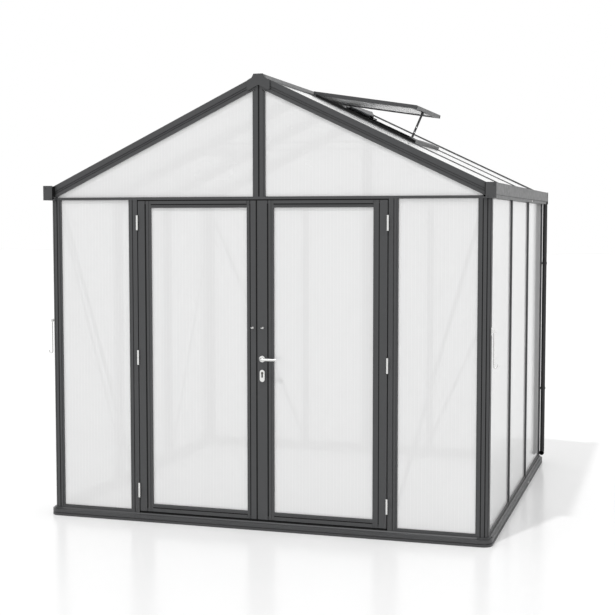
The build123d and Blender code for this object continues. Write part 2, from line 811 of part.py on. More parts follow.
with BuildPart() as roof_bars:
    for y in (-side_bar_y, side_bar_y):
        with BuildSketch(roof_section(-80, y)):
            half = roof_bar_box / 2
            add(hollow((-half, half), (-roof_bar_depth, 0)))
        extrude(amount=roof_run + 160)
    split(bisect_by=Plane.YZ.offset(ridge_half), keep=Keep.TOP)
    split(bisect_by=Plane.YZ.offset(gutter_chamber), keep=Keep.BOTTOM)
    for y in (-side_bar_y, side_bar_y):
        cap_from = (ridge_lip + 1 + pane_thick * sin_p) / cos_p
        with BuildSketch(roof_section(cap_from, y)):
            add(rect((-cap_web / 2, cap_web / 2), (-metal / 2, cap_low)))
        extrude(amount=gutter_chamber / cos_p - cap_from - pane_thick)
        with BuildSketch(roof_section(cap_from, y)):
            add(rect((-cap_width / 2, cap_width / 2), (cap_low, cap_low + cap_thick)))
        extrude(amount=cap_end / cos_p - cap_from)
    mirror(about=Plane.YZ)
roof_bars.part.label = "roof_bars"
export_step(roof_bars.part, "parts/roof_bars.step")

between_bars = side_bar_y - roof_bar_box / 2
with BuildPart() as roof_trimmers:
    with BuildSketch(Plane(origin=(0, between_bars, apex), x_dir=(cos_p, 0, -sin_p), z_dir=(0, -1, 0))):
        add(hollow((trimmer_start, trimmer_start + trimmer_width), (-roof_bar_depth, trimmer_rise)))
    extrude(amount=2 * between_bars)
    with BuildSketch(Plane(origin=(0, between_bars, apex), x_dir=(-cos_p, 0, -sin_p), z_dir=(0, 1, 0))):
        add(hollow((trimmer_start, trimmer_start + trimmer_width), (-roof_bar_depth, 0)))
    extrude(amount=-2 * between_bars)
roof_trimmers.part.label = "roof_trimmers"
export_step(roof_trimmers.part, "parts/roof_trimmers.step")

with BuildPart() as roof_ties:
    tie_y = (-between_bars, -between_bars + tie_thick)
    slab((-tie_reach, tie_reach), tie_y, (tie_z - tie_height / 2, tie_z + tie_height / 2))
    mirror(about=Plane.XZ)
roof_ties.part.label = "roof_ties"
export_step(roof_ties.part, "parts/roof_ties.step")

with BuildPart() as eave_gussets:
    for y in (-side_bar_y, side_bar_y):
        with BuildSketch(Plane(origin=(0, y + gusset_thick / 2, 0), x_dir=(1, 0, 0), z_dir=(0, -1, 0))):
            with BuildLine():
                Polyline(
                    (post_in, wall_top - gusset_drop),
                    (post_in, roof_z(post_in, -roof_bar_depth)),
                    (post_in - gusset_reach, roof_z(post_in - gusset_reach, -roof_bar_depth)),
                    (post_in - gusset_reach, wall_top + 25),
                    close=True,
                )
            make_face()
        extrude(amount=gusset_thick)
    mirror(about=Plane.YZ)
eave_gussets.part.label = "eave_gussets"
export_step(eave_gussets.part, "parts/eave_gussets.step")

# Roof panes
pane_from = (ridge_half + 3) / cos_p
pane_to = (half_w - 6) / cos_p
end_pane_width = half_d - verge_thick - 1 - side_bar_y - cap_web / 2 - pane_end
end_pane_y = side_bar_y + cap_web / 2 + pane_end + end_pane_width / 2
mid_pane_width = 2 * (side_bar_y - cap_web / 2 - pane_end)
lower_from = trimmer_start + trimmer_width + 0.5
with BuildPart() as right_roof_panes:
    for y in (-end_pane_y, end_pane_y):
        with BuildSketch(roof_section(pane_from, y)):
            with Locations((0, pane_lift)):
                add(fluted(end_pane_width, pane_thick))
        extrude(amount=pane_to - pane_from)
    with BuildSketch(roof_section(lower_from)):
        with Locations((0, pane_lift)):
            add(fluted(mid_pane_width, pane_thick))
    extrude(amount=pane_to - lower_from)
right_roof_panes.part.label = "right_roof_panes"
export_step(right_roof_panes.part, "parts/right_roof_panes.step")

with BuildPart() as left_roof_panes:
    for y, width in ((-end_pane_y, end_pane_width), (0, mid_pane_width), (end_pane_y, end_pane_width)):
        with BuildSketch(roof_section(pane_from, y)):
            with Locations((0, pane_lift)):
                add(fluted(width, pane_thick))
        extrude(amount=pane_to - pane_from)
    mirror(about=Plane.YZ)
    split(bisect_by=Plane.YZ, keep=Keep.BOTTOM)
left_roof_panes.part.label = "left_roof_panes"
export_step(left_roof_panes.part, "parts/left_roof_panes.step")


# Diagonal braces on the inner faces of the walls
def strip(start, end, ends):
    """Flat bar between two points of a plane, cut straight at the two given x values."""
    run = end[0] - start[0]
    rise = end[1] - start[1]
    length = sqrt(run * run + rise * rise)
    over_x = run / length * brace_width
    over_y = rise / length * brace_width
    side_x = -rise / length * brace_width / 2
    side_y = run / length * brace_width / 2
    with BuildSketch() as shape:
        with BuildLine():
            Polyline(
                (start[0] - over_x + side_x, start[1] - over_y + side_y),
                (end[0] + over_x + side_x, end[1] + over_y + side_y),
                (end[0] + over_x - side_x, end[1] + over_y - side_y),
                (start[0] - over_x - side_x, start[1] - over_y - side_y),
                close=True,
            )
        make_face()
        add(rect(ends, (0, wall_top)), mode=Mode.INTERSECT)
    return shape.sketch


brace_y = front + wall_depth
brace_x = half_w - wall_depth
brace_edge = half_w - lip_back - 2
front_top = (post_in + 8, brace_top_end)
front_low = (jamb_inner + jamb_box / 2, brace_foot)
rear_low = (rear_bar_x, brace_foot)
side_top = (side_run + 8, brace_top_side)
side_low = (side_bar_y, brace_foot)
side_edge = half_d - lip_back - 2
with BuildPart() as wall_braces:
    front_plane = Plane(origin=(0, brace_y, 0), x_dir=(1, 0, 0), z_dir=(0, -1, 0))
    with BuildSketch(front_plane):
        add(strip(front_low, front_top, (jamb_inner, brace_edge)))
    extrude(amount=-brace_thick)
    rear_plane = Plane(origin=(0, -brace_y, 0), x_dir=(1, 0, 0), z_dir=(0, -1, 0))
    with BuildSketch(rear_plane):
        add(strip(rear_low, front_top, (rear_bar_x - bar_box / 2, brace_edge)))
    extrude(amount=brace_thick)
    side_plane = Plane(origin=(brace_x, 0, 0), x_dir=(0, 1, 0), z_dir=(1, 0, 0))
    with BuildSketch(side_plane):
        add(strip(side_low, side_top, (side_bar_y - bar_box / 2, side_edge)))
        mirror(about=Plane.YZ)
    extrude(amount=-brace_thick)
    mirror(about=Plane.YZ)
wall_braces.part.label = "wall_braces"
export_step(wall_braces.part, "parts/wall_braces.step")

with BuildPart() as brace_bolts:
    for x, z in (front_low, front_top):
        rod((x, brace_y + brace_thick, z), (0, 1, 0), bolt_radius, bolt_head)
    for x, z in (rear_low, front_top):
        rod((x, -brace_y - brace_thick, z), (0, -1, 0), bolt_radius, bolt_head)
    for y, z in (side_low, side_top):
        for turn in (-1, 1):
            rod((brace_x - brace_thick, turn * y, z), (-1, 0, 0), bolt_radius, bolt_head)
    mirror(about=Plane.YZ)
brace_bolts.part.label = "brace_bolts"
export_step(brace_bolts.part, "parts/brace_bolts.step")

# Door leaves
leaf_run = leaf_top - leaf_bottom
leaf_glass = leaf_wing - pane_end
hinge_inner = leaf_edge - hinge_stile
left_meet_in = left_edge - meet_stile_left
right_meet_in = right_edge + meet_stile_right


def latch_window(x, clear, mode=Mode.SUBTRACT):
    """Openings for the latch and the dead bolt through a wall between two x values."""
    mid = front + leaf_depth / 2
    half = bolt_thick / 2 + clear
    slab(x, (mid - half, mid + half), (lever_z - latch_tall / 2 - clear, lever_z + latch_tall / 2 + clear), mode)
    slab(x, (mid - half, mid + half), (dead_z - dead_tall / 2 - clear, dead_z + dead_tall / 2 + clear), mode)


leaf_up = (0, 0, 1)
rail_groove_top = 21.0
rail_groove_bottom = 24.0
with BuildPart() as door_left_frame:
    with BuildSketch(Plane(origin=(-leaf_edge, front, leaf_bottom), x_dir=(1, 0, 0), z_dir=leaf_up)):
        add(leaf_profile(hinge_stile, 48.0))
    extrude(amount=leaf_run)
    with BuildSketch(Plane(origin=(left_edge, front, leaf_top), x_dir=(-1, 0, 0), z_dir=(0, 0, -1))):
        add(leaf_profile(meet_stile_left, 37.0))
    extrude(amount=leaf_run)
    rail_span = left_meet_in + hinge_inner - 2 * joint_gap
    with BuildSketch(Plane(origin=(-hinge_inner + joint_gap, front, leaf_top), x_dir=(0, 0, -1), z_dir=(1, 0, 0))):
        add(leaf_profile(rail_top, rail_groove_top))
    extrude(amount=rail_span)
    with BuildSketch(Plane(origin=(left_meet_in - joint_gap, front, leaf_bottom), x_dir=(0, 0, 1), z_dir=(-1, 0, 0))):
        add(leaf_profile(rail_bottom, rail_groove_bottom))
    extrude(amount=rail_span)
    latch_window((left_edge - metal, left_edge + 1), 1.2)
door_left_frame.part.label = "door_left_frame"
export_step(door_left_frame.part, "parts/door_left_frame.step")

hole_y = front + leaf_depth / 2
with BuildPart() as door_right_frame:
    with BuildSketch(Plane(origin=(leaf_edge, front, leaf_top), x_dir=(-1, 0, 0), z_dir=(0, 0, -1))):
        add(leaf_profile(hinge_stile, 48.0))
    extrude(amount=leaf_run)
    with BuildSketch(Plane(origin=(right_edge, front, leaf_bottom), x_dir=(1, 0, 0), z_dir=leaf_up)):
        add(leaf_profile(meet_stile_right, 66.0))
    extrude(amount=leaf_run)
    rail_span = hinge_inner - right_meet_in - 2 * joint_gap
    with BuildSketch(Plane(origin=(right_meet_in + joint_gap, front, leaf_top), x_dir=(0, 0, -1), z_dir=(1, 0, 0))):
        add(leaf_profile(rail_top, rail_groove_top))
    extrude(amount=rail_span)
    with BuildSketch(Plane(origin=(hinge_inner - joint_gap, front, leaf_bottom), x_dir=(0, 0, 1), z_dir=(-1, 0, 0))):
        add(leaf_profile(rail_bottom, rail_groove_bottom))
    extrude(amount=rail_span)
    latch_window((right_edge - 1, right_edge + metal), touch_gap)
    rod((lever_x, front - 1, lever_z), (0, 1, 0), neck_radius + 1, leaf_depth + 2, mode=Mode.SUBTRACT)
    rod((lever_x, front - 1, key_z), (0, 1, 0), plug_radius + touch_gap, leaf_depth + 2, mode=Mode.SUBTRACT)
door_right_frame.part.label = "door_right_frame"
export_step(door_right_frame.part, "parts/door_right_frame.step")

glass_low = leaf_bottom + rail_bottom - leaf_glass
glass_high = leaf_top - rail_top + leaf_glass
with BuildPart() as door_left_pane:
    low = -hinge_inner - leaf_glass
    high = left_meet_in + leaf_glass
    with BuildSketch(Plane(origin=((low + high) / 2, front + leaf_recess, glass_low), z_dir=leaf_up)):
        add(fluted(high - low, pane_thick))
    extrude(amount=glass_high - glass_low)
door_left_pane.part.label = "door_left_pane"
export_step(door_left_pane.part, "parts/door_left_pane.step")

with BuildPart() as door_right_pane:
    low = right_meet_in - leaf_glass
    high = hinge_inner + leaf_glass
    with BuildSketch(Plane(origin=((low + high) / 2, front + leaf_recess, glass_low), z_dir=leaf_up)):
        add(fluted(high - low, pane_thick))
    extrude(amount=glass_high - glass_low)
door_right_pane.part.label = "door_right_pane"
export_step(door_right_pane.part, "parts/door_right_pane.step")

# Lift-off hinges: the lower half with its pin stays on the jamb
hinge_y = front - hinge_out
half_hinge = hinge_height / 2
hinge_split = 0.25
plate_end = front + hinge_plate_deep
with BuildPart() as jamb_hinges:
    for z in hinge_zs:
        rod((hinge_axis_x, hinge_y, z - half_hinge), leaf_up, hinge_radius, half_hinge - hinge_split)
        rod((hinge_axis_x, hinge_y, z - 2 * hinge_split), leaf_up, hinge_pin, half_hinge - 6)
        plate_x = (jamb_inner - hinge_plate, jamb_inner)
        slab(plate_x, (hinge_y, plate_end), (z - half_hinge, z - hinge_split))
    mirror(about=Plane.YZ)
jamb_hinges.part.label = "jamb_hinges"
export_step(jamb_hinges.part, "parts/jamb_hinges.step")

with BuildPart() as door_right_hinges:
    for z in hinge_zs:
        rod((hinge_axis_x, hinge_y, z + hinge_split), leaf_up, hinge_radius, half_hinge - hinge_split)
        plate_x = (leaf_edge, leaf_edge + hinge_plate)
        slab(plate_x, (hinge_y, plate_end), (z + hinge_split, z + half_hinge))
        bore = half_hinge - 4
        rod((hinge_axis_x, hinge_y, z), leaf_up, hinge_pin + run_fit, bore, mode=Mode.SUBTRACT)
door_right_hinges.part.label = "door_right_hinges"
export_step(door_right_hinges.part, "parts/door_right_hinges.step")

with BuildPart() as door_left_hinges:
    add(door_right_hinges.part)
    mirror(about=Plane.YZ)
    split(bisect_by=Plane.YZ, keep=Keep.BOTTOM)
door_left_hinges.part.label = "door_left_hinges"
export_step(door_left_hinges.part, "parts/door_left_hinges.step")


# Eyes on the leaves, for the storm hooks
def eye(x):
    """Eye with an upright hole in front of a leaf, in the current part."""
    ring_y = front - eye_out
    with Locations((x, ring_y, eye_z)):
        Torus(eye_ring, eye_wire)
    rod((x, front, eye_z), (0, -1, 0), eye_wire, eye_out - eye_ring)
    rod((x, front, eye_z), (0, -1, 0), 2.6 * eye_wire, 2)


with BuildPart() as door_left_eye:
    eye(eye_left_x)
door_left_eye.part.label = "door_left_eye"
export_step(door_left_eye.part, "parts/door_left_eye.step")

with BuildPart() as door_right_eye:
    eye(eye_right_x)
door_right_eye.part.label = "door_right_eye"
export_step(door_right_eye.part, "parts/door_right_eye.step")

# Lock in the right leaf
case_front = right_edge + metal
case_y = (hole_y - case_depth / 2, hole_y + case_depth / 2)
with BuildPart() as lock_case:
    skin = 1.5
    slab((case_front, case_back), case_y, (case_low, case_high))
    inner_y = (case_y[0] + skin, case_y[1] - skin)
    slab((case_front + skin, case_back - skin), inner_y, (case_low + skin, case_high - skin), Mode.SUBTRACT)
    latch_window((case_front - 1, case_front + skin), touch_gap)
    rod((lever_x, case_y[0] - 1, lever_z), (0, 1, 0), spindle_radius + touch_gap, case_depth + 2, mode=Mode.SUBTRACT)
    rod((lever_x, case_y[0] - 1, key_z), (0, 1, 0), plug_radius + touch_gap, case_depth + 2, mode=Mode.SUBTRACT)
lock_case.part.label = "lock_case"
export_step(lock_case.part, "parts/lock_case.step")

with BuildPart() as lock_plates:
    for y, out in ((front, -1), (front + leaf_depth, 1)):
        with BuildSketch(Plane(origin=(lever_x, y, 0), x_dir=(1, 0, 0), z_dir=(0, -1, 0))):
            with Locations((0, lever_z)):
                Circle(rose_radius)
                Circle(neck_radius + touch_gap, mode=Mode.SUBTRACT)
            with Locations((0, plate_z)):
                SlotOverall(plate_tall, plate_wide, rotation=90)
            with Locations((0, key_z)):
                Circle(plug_radius + touch_gap, mode=Mode.SUBTRACT)
        extrude(amount=-out * rose_thick)
lock_plates.part.label = "lock_plates"
export_step(lock_plates.part, "parts/lock_plates.step")

with BuildPart() as lever_handle:
    rod((lever_x, front, lever_z), (0, 1, 0), spindle_radius, leaf_depth)
    for y, out in ((front, -1), (front + leaf_depth, 1)):
        rod((lever_x, y, lever_z), (0, out, 0), neck_radius, lever_out)
        grip_y = y + out * lever_out
        with BuildSketch(Plane(origin=(lever_x - neck_radius, grip_y, lever_z), x_dir=(0, 1, 0), z_dir=(1, 0, 0))):
            SlotOverall(lever_thick, lever_thick - 4, rotation=90)
        extrude(amount=lever_length + neck_radius)
lever_handle.part.label = "lever_handle"
export_step(lever_handle.part, "parts/lever_handle.step")

with BuildPart() as latch_bolt:
    nose = right_edge - latch_out
    with BuildSketch(Plane(origin=(0, 0, lever_z - latch_tall / 2), z_dir=leaf_up)):
        with BuildLine():
            Polyline(
                (nose, hole_y + bolt_thick / 2),
                (nose + latch_long, hole_y + bolt_thick / 2),
                (nose + latch_long, hole_y - bolt_thick / 2),
                (nose + latch_out, hole_y - bolt_thick / 2),
                close=True,
            )
        make_face()
    extrude(amount=latch_tall)
latch_bolt.part.label = "latch_bolt"
export_step(latch_bolt.part, "parts/latch_bolt.step")

with BuildPart() as dead_bolt:
    bolt_y = (hole_y - bolt_thick / 2, hole_y + bolt_thick / 2)
    bolt_z = (dead_z - dead_tall / 2, dead_z + dead_tall / 2)
    slab((right_edge + 0.5, right_edge + dead_long), bolt_y, bolt_z)
dead_bolt.part.label = "dead_bolt"
export_step(dead_bolt.part, "parts/dead_bolt.step")

plug_out = rose_thick + 2
with BuildPart() as lock_cylinder:
    rod((lever_x, front - plug_out, key_z), (0, 1, 0), plug_radius, leaf_depth + 2 * plug_out)
    for y in (front - plug_out, front + leaf_depth + plug_out - 8):
        slab((lever_x - 1.2, lever_x + 1.2), (y, y + 8), (key_z - 4.5, key_z + 4.5), Mode.SUBTRACT)
lock_cylinder.part.label = "lock_cylinder"
export_step(lock_cylinder.part, "parts/lock_cylinder.step")

with BuildPart() as strike_plate:
    strike_y = (hole_y - 10, hole_y + 10)
    slab((left_edge, left_edge + strike_thick), strike_y, (dead_z - 30, lever_z + 30))
    latch_window((left_edge - 1, left_edge + strike_thick + 1), 1.2)
strike_plate.part.label = "strike_plate"
export_step(strike_plate.part, "parts/strike_plate.step")

# Tower bolts on the inner face of the left leaf
leaf_in = front + leaf_depth
bolt_top_end = wall_top - stop_height - tower_clear
bolt_low_end = sill_height + threshold_height + tower_clear
guide_far = 120.0
with BuildPart() as bolt_guides:
    for end, turn in ((bolt_top_end, -1), (bolt_low_end, 1)):
        plate = (end + turn * 30, end + turn * 190)
        slab((tower_x - 14, tower_x + 14), (leaf_in, leaf_in + tower_plate), (min(plate), max(plate)))
        for away in (36.0, guide_far):
            loop = (end + turn * away, end + turn * (away + 14))
            slab((tower_x - 9, tower_x + 9), (leaf_in, tower_y + 9), (min(loop), max(loop)))
    rod((tower_x, tower_y, 0), leaf_up, tower_radius + run_fit, wall_top, mode=Mode.SUBTRACT)
bolt_guides.part.label = "bolt_guides"
export_step(bolt_guides.part, "parts/bolt_guides.step")


def tower_bolt(end, turn):
    """Sliding rod of a tower bolt with its finger knob, in the current part."""
    rod((tower_x, tower_y, end), (0, 0, turn), tower_radius, tower_long)
    knob_z = end + turn * (guide_far - 28)
    rod((tower_x, tower_y, knob_z), (0, 1, 0), tower_radius - 1, 20)
    rod((tower_x, tower_y + 20, knob_z), (0, 1, 0), tower_radius + 2, 8)


with BuildPart() as tower_bolt_top:
    tower_bolt(bolt_top_end, -1)
tower_bolt_top.part.label = "tower_bolt_top"
export_step(tower_bolt_top.part, "parts/tower_bolt_top.step")

with BuildPart() as tower_bolt_low:
    tower_bolt(bolt_low_end, 1)
tower_bolt_low.part.label = "tower_bolt_low"
export_step(tower_bolt_low.part, "parts/tower_bolt_low.step")

# Storm hooks on the outer sides of the front posts
hook_x = half_w + hook_out
hook_at = front + hook_y
ear_gap = hook_eye_wide / 2 + touch_gap
with BuildPart() as hook_staples:
    slab((half_w, half_w + 2), (hook_at + 6, hook_at + 22), (hook_z - 22, hook_z + 22))
    for side in (1,):
        ear = (hook_at + side * ear_gap, hook_at + side * (ear_gap + 4))
        slab((half_w, hook_x + 7), ear, (hook_z - 8, hook_z + 8))
    pin_from = hook_at - ear_gap - 3
    rod((hook_x, pin_from, hook_z), (0, 1, 0), hook_pin, 2 * ear_gap + 5)
    rod((hook_x, pin_from, hook_z), (0, 1, 0), 2 * hook_pin, 3)
    mirror(about=Plane.YZ)
hook_staples.part.label = "hook_staples"
export_step(hook_staples.part, "parts/hook_staples.step")


with BuildPart() as storm_hook_right:
    low_z = hook_z - hook_drop
    rod((hook_x, hook_at, low_z), leaf_up, hook_wire, hook_drop)
    with BuildSketch(Plane(origin=(hook_x, hook_at, low_z), z_dir=leaf_up)):
        Circle(hook_wire)
    revolve(axis=Axis((hook_x + hook_curl, hook_at, low_z), (0, 1, 0)), revolution_arc=-180)
    rod((hook_x + 2 * hook_curl, hook_at, low_z), leaf_up, hook_wire, 8)
    rod((hook_x, hook_at - hook_eye_wide / 2, hook_z), (0, 1, 0), hook_eye, hook_eye_wide)
    bore_from = hook_at - hook_eye_wide
    rod((hook_x, bore_from, hook_z), (0, 1, 0), hook_pin + run_fit, 2 * hook_eye_wide, mode=Mode.SUBTRACT)
storm_hook_right.part.label = "storm_hook_right"
export_step(storm_hook_right.part, "parts/storm_hook_right.step")

with BuildPart() as storm_hook_left:
    add(storm_hook_right.part)
    mirror(about=Plane.YZ)
    split(bisect_by=Plane.YZ, keep=Keep.BOTTOM)
storm_hook_left.part.label = "storm_hook_left"
export_step(storm_hook_left.part, "parts/storm_hook_left.step")

# Roof vent, drawn open
vent_axis_z = roof_z(vent_axis_x, vent_axis_lift)
vent_fall = radians(roof_pitch - vent_open)
vent_down = (cos(vent_fall), 0, -sin(vent_fall))
vent_up = (sin(vent_fall), 0, cos(vent_fall))


def vent_point(along, lift, y=0.0):
    """Point of the open sash: distance from the hinge axis and height above it."""
    x = vent_axis_x + along * vent_down[0] + lift * vent_up[0]
    return (x, y, vent_axis_z + along * vent_down[2] + lift * vent_up[2])


def sash_profile():
    """Sash rail section from its outer edge (x = 0) to the pane, y through the sash."""
    total = vent_box + vent_wing
    half_pane = vent_pane_thick / 2 + touch_gap
    with BuildSketch() as shape:
        add(hollow((0, vent_box), (-vent_low, vent_high), 2))
        add(rect((vent_box, total), (-vent_low, -half_pane)))
        add(rect((vent_box, total), (half_pane, vent_high)))
    return shape.sketch


sash_rail = vent_box + vent_wing
sash_inner = vent_half - sash_rail
with BuildPart() as vent_sash:
    start = vent_point(vent_start, 0, -vent_half)
    with BuildSketch(Plane(origin=start, x_dir=(0, 1, 0), z_dir=vent_down)):
        add(sash_profile())
    extrude(amount=vent_length - vent_start)
    mirror(about=Plane.XZ)
    start = vent_point(vent_start, 0, sash_inner - joint_gap)
    with BuildSketch(Plane(origin=start, x_dir=vent_down, z_dir=(0, -1, 0))):
        add(sash_profile())
        with Locations((vent_length - vent_start, 0)):
            add(mirror(sash_profile(), about=Plane.YZ, mode=Mode.PRIVATE))
    extrude(amount=2 * (sash_inner - joint_gap))
    for y in vent_hinge_ys:
        rod((vent_axis_x, y + touch_gap, vent_axis_z), (0, 1, 0), vent_barrel, vent_knuckle)
        with BuildSketch(Plane(origin=vent_point(0, 0, y + touch_gap), x_dir=vent_down, z_dir=(0, 1, 0))):
            add(rect((0, vent_start), (-3, 3)))
        extrude(amount=vent_knuckle)
        bore = vent_pin + run_fit
        rod((vent_axis_x, y, vent_axis_z), (0, 1, 0), bore, vent_knuckle + 2, mode=Mode.SUBTRACT)
    for side in (-1, 1):
        gap = stay_thick / 2 + touch_gap
        ear_y = side * gap if side > 0 else side * (gap + 3)
        plane = Plane(origin=vent_point(0, 0, stay_y + ear_y), x_dir=vent_down, z_dir=(0, -1, 0))
        with BuildSketch(plane):
            ear = vent_length - stay_back
            add(rect((ear - 9, ear + 9), (-vent_low - 18, -vent_low)))
        extrude(amount=-3)
    pin_at = vent_point(vent_length - stay_back, -vent_low - 10, stay_y)
    rod((pin_at[0], stay_y - 5, pin_at[2]), (0, 1, 0), stay_pin, 10)
vent_sash.part.label = "vent_sash"
export_step(vent_sash.part, "parts/vent_sash.step")

with BuildPart() as vent_pane:
    low = vent_start + vent_box + pane_end
    start = vent_point(low, -vent_pane_thick / 2)
    with BuildSketch(Plane(origin=start, x_dir=(0, 1, 0), z_dir=vent_down)):
        add(fluted(2 * (vent_half - vent_box - pane_end), vent_pane_thick))
    extrude(amount=vent_length - vent_start - 2 * (vent_box + pane_end))
vent_pane.part.label = "vent_pane"
export_step(vent_pane.part, "parts/vent_pane.step")

with BuildPart() as vent_hinges:
    for y in vent_hinge_ys:
        rod((vent_axis_x, y - touch_gap, vent_axis_z), (0, -1, 0), vent_barrel, vent_knuckle)
        rod((vent_axis_x, y - 1, vent_axis_z), (0, 1, 0), vent_pin, vent_knuckle)
        slab((ridge_lip, vent_axis_x), (y - vent_knuckle - touch_gap, y - touch_gap), (lip_z + 1, vent_axis_z))
vent_hinges.part.label = "vent_hinges"
export_step(vent_hinges.part, "parts/vent_hinges.step")

with BuildPart() as vent_stay:
    lean = radians(stay_lean)
    hang = (-sin(lean), 0, -cos(lean))
    start = (pin_at[0], stay_y + stay_thick / 2, pin_at[2])
    with BuildSketch(Plane(origin=start, x_dir=hang, z_dir=(0, 1, 0))):
        with Locations((stay_long / 2 - stay_wide / 2, 0)):
            SlotOverall(stay_long, stay_wide)
        Circle(stay_pin + run_fit, mode=Mode.SUBTRACT)
        for step in range(4):
            with Locations((95 + 36 * step, 0)):
                Circle(stay_pin + 0.5, mode=Mode.SUBTRACT)
    extrude(amount=-stay_thick)
vent_stay.part.label = "vent_stay"
export_step(vent_stay.part, "parts/vent_stay.step")

seal_in = vent_half - 9
with BuildPart() as vent_seal:
    seal_from = (ridge_lip + 30) / cos_p
    for y in (seal_in, -seal_in - seal_width):
        with BuildSketch(roof_section(seal_from, y)):
            add(rect((0, seal_width), (0, seal_rise)))
        extrude(amount=trimmer_start - seal_from - 1)
    with BuildSketch(roof_section(seal_from, -side_bar_y)):
        top = cap_low + cap_thick
        add(rect((-band_width / 2, band_width / 2 - 1), (top, top + band_rise)))
    extrude(amount=trimmer_start + trimmer_width - seal_from)
vent_seal.part.label = "vent_seal"
export_step(vent_seal.part, "parts/vent_seal.step")

tube_seat = 1.0
tube_lift = cap_low + cap_thick + tube_radius - tube_seat
roof_down = (cos_p, 0, -sin_p)
with BuildPart() as vent_tube:
    tube_from = roof_point(tube_start + 30, tube_lift, side_bar_y)
    rod(tube_from, roof_down, tube_radius, tube_long - 30)
    for step in range(5):
        band = roof_point(tube_start + 44 + 32 * step, tube_lift, side_bar_y)
        rod(band, roof_down, tube_radius + 1.6, 10)
    split(bisect_by=Plane(origin=roof_point(0, cap_low + cap_thick), z_dir=(sin_p, 0, cos_p)), keep=Keep.TOP)
vent_tube.part.label = "vent_tube"
export_step(vent_tube.part, "parts/vent_tube.step")

with BuildPart() as vent_tube_cap:
    cap_at = roof_point(tube_start + tube_long, tube_lift, side_bar_y)
    rod(cap_at, roof_down, tube_radius - tube_seat - joint_gap, tube_cap_long)
    tail_at = roof_point(tube_start + tube_long + tube_cap_long, tube_lift - 4, side_bar_y)
    rod(tail_at, roof_down, 4, tube_tail)
vent_tube_cap.part.label = "vent_tube_cap"
export_step(vent_tube_cap.part, "parts/vent_tube_cap.step")
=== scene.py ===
"""Looks of a free-standing garden greenhouse, laid out as a Blender add-on.

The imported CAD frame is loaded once. Panes, levers, seals and screws are surfaces worked out with
numpy around it, and every CAD node gets a procedural finish. Metres, +X right, +Y back, +Z up.
"""

import json
import math

import bpy
import numpy as np
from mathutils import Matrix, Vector


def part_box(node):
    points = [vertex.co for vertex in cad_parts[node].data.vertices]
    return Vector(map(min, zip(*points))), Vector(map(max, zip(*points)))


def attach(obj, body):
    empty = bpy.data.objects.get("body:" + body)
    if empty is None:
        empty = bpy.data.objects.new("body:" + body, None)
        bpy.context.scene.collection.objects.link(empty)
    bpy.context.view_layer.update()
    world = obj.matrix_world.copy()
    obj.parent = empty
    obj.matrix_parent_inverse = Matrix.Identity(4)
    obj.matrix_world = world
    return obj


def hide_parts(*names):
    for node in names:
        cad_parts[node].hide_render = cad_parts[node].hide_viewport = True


bl_info = {
    "name": "Garden greenhouse",
    "version": (1, 0, 0),
    "blender": (4, 5, 0),
    "location": "View3D > Sidebar > Greenhouse",
    "description": "Builds the panes, fittings, finishes and stage of a garden greenhouse",
    "category": "Object",
}

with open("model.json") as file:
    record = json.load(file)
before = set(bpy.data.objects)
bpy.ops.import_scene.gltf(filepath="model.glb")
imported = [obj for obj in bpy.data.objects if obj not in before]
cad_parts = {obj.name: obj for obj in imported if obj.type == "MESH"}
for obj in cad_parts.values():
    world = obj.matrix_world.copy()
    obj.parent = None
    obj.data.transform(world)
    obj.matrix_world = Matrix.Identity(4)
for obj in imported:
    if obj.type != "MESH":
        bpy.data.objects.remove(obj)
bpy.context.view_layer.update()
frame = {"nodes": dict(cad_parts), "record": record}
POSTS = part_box("corner_posts")

# Gaps between neighbours and other small steps, in metres
HAIR = 0.0001
SLACK = 0.0002
EDGE_GAP = 0.0003
INSET = 0.0004
LEAF_GAP = 0.0005
SKIN_GAP = 0.0006
THIN_END = 0.001

# Grid steps of the surfaces
FLUTE_STEPS = 6
SCREW_STEPS = 14
NECK_STEPS = 5
BEND_STEPS = 10
GRIP_STEPS = 22
LEVER_STEPS = 20

# Where a lever's neck has become its grip, in bend radii, and how far its round tip is drawn
GRIP_FULL = 3
TIP_END = 0.995


def length(name, value, text):
    """A size in metres for a property group."""
    return bpy.props.FloatProperty(name=name, description=text, default=value, unit="LENGTH", precision=5)


def angle(name, degrees, text):
    """An angle for a property group, written in degrees."""
    value = math.radians(degrees)
    return bpy.props.FloatProperty(name=name, description=text, default=value, subtype="ANGLE")


def share(name, value, text):
    """A plain number for a property group."""
    return bpy.props.FloatProperty(name=name, description=text, default=value, precision=4)


def colour(name, value, text):
    """A linear colour for a property group."""
    return bpy.props.FloatVectorProperty(
        name=name, description=text, default=value, subtype="COLOR", size=3, min=0.0, max=1.0
    )


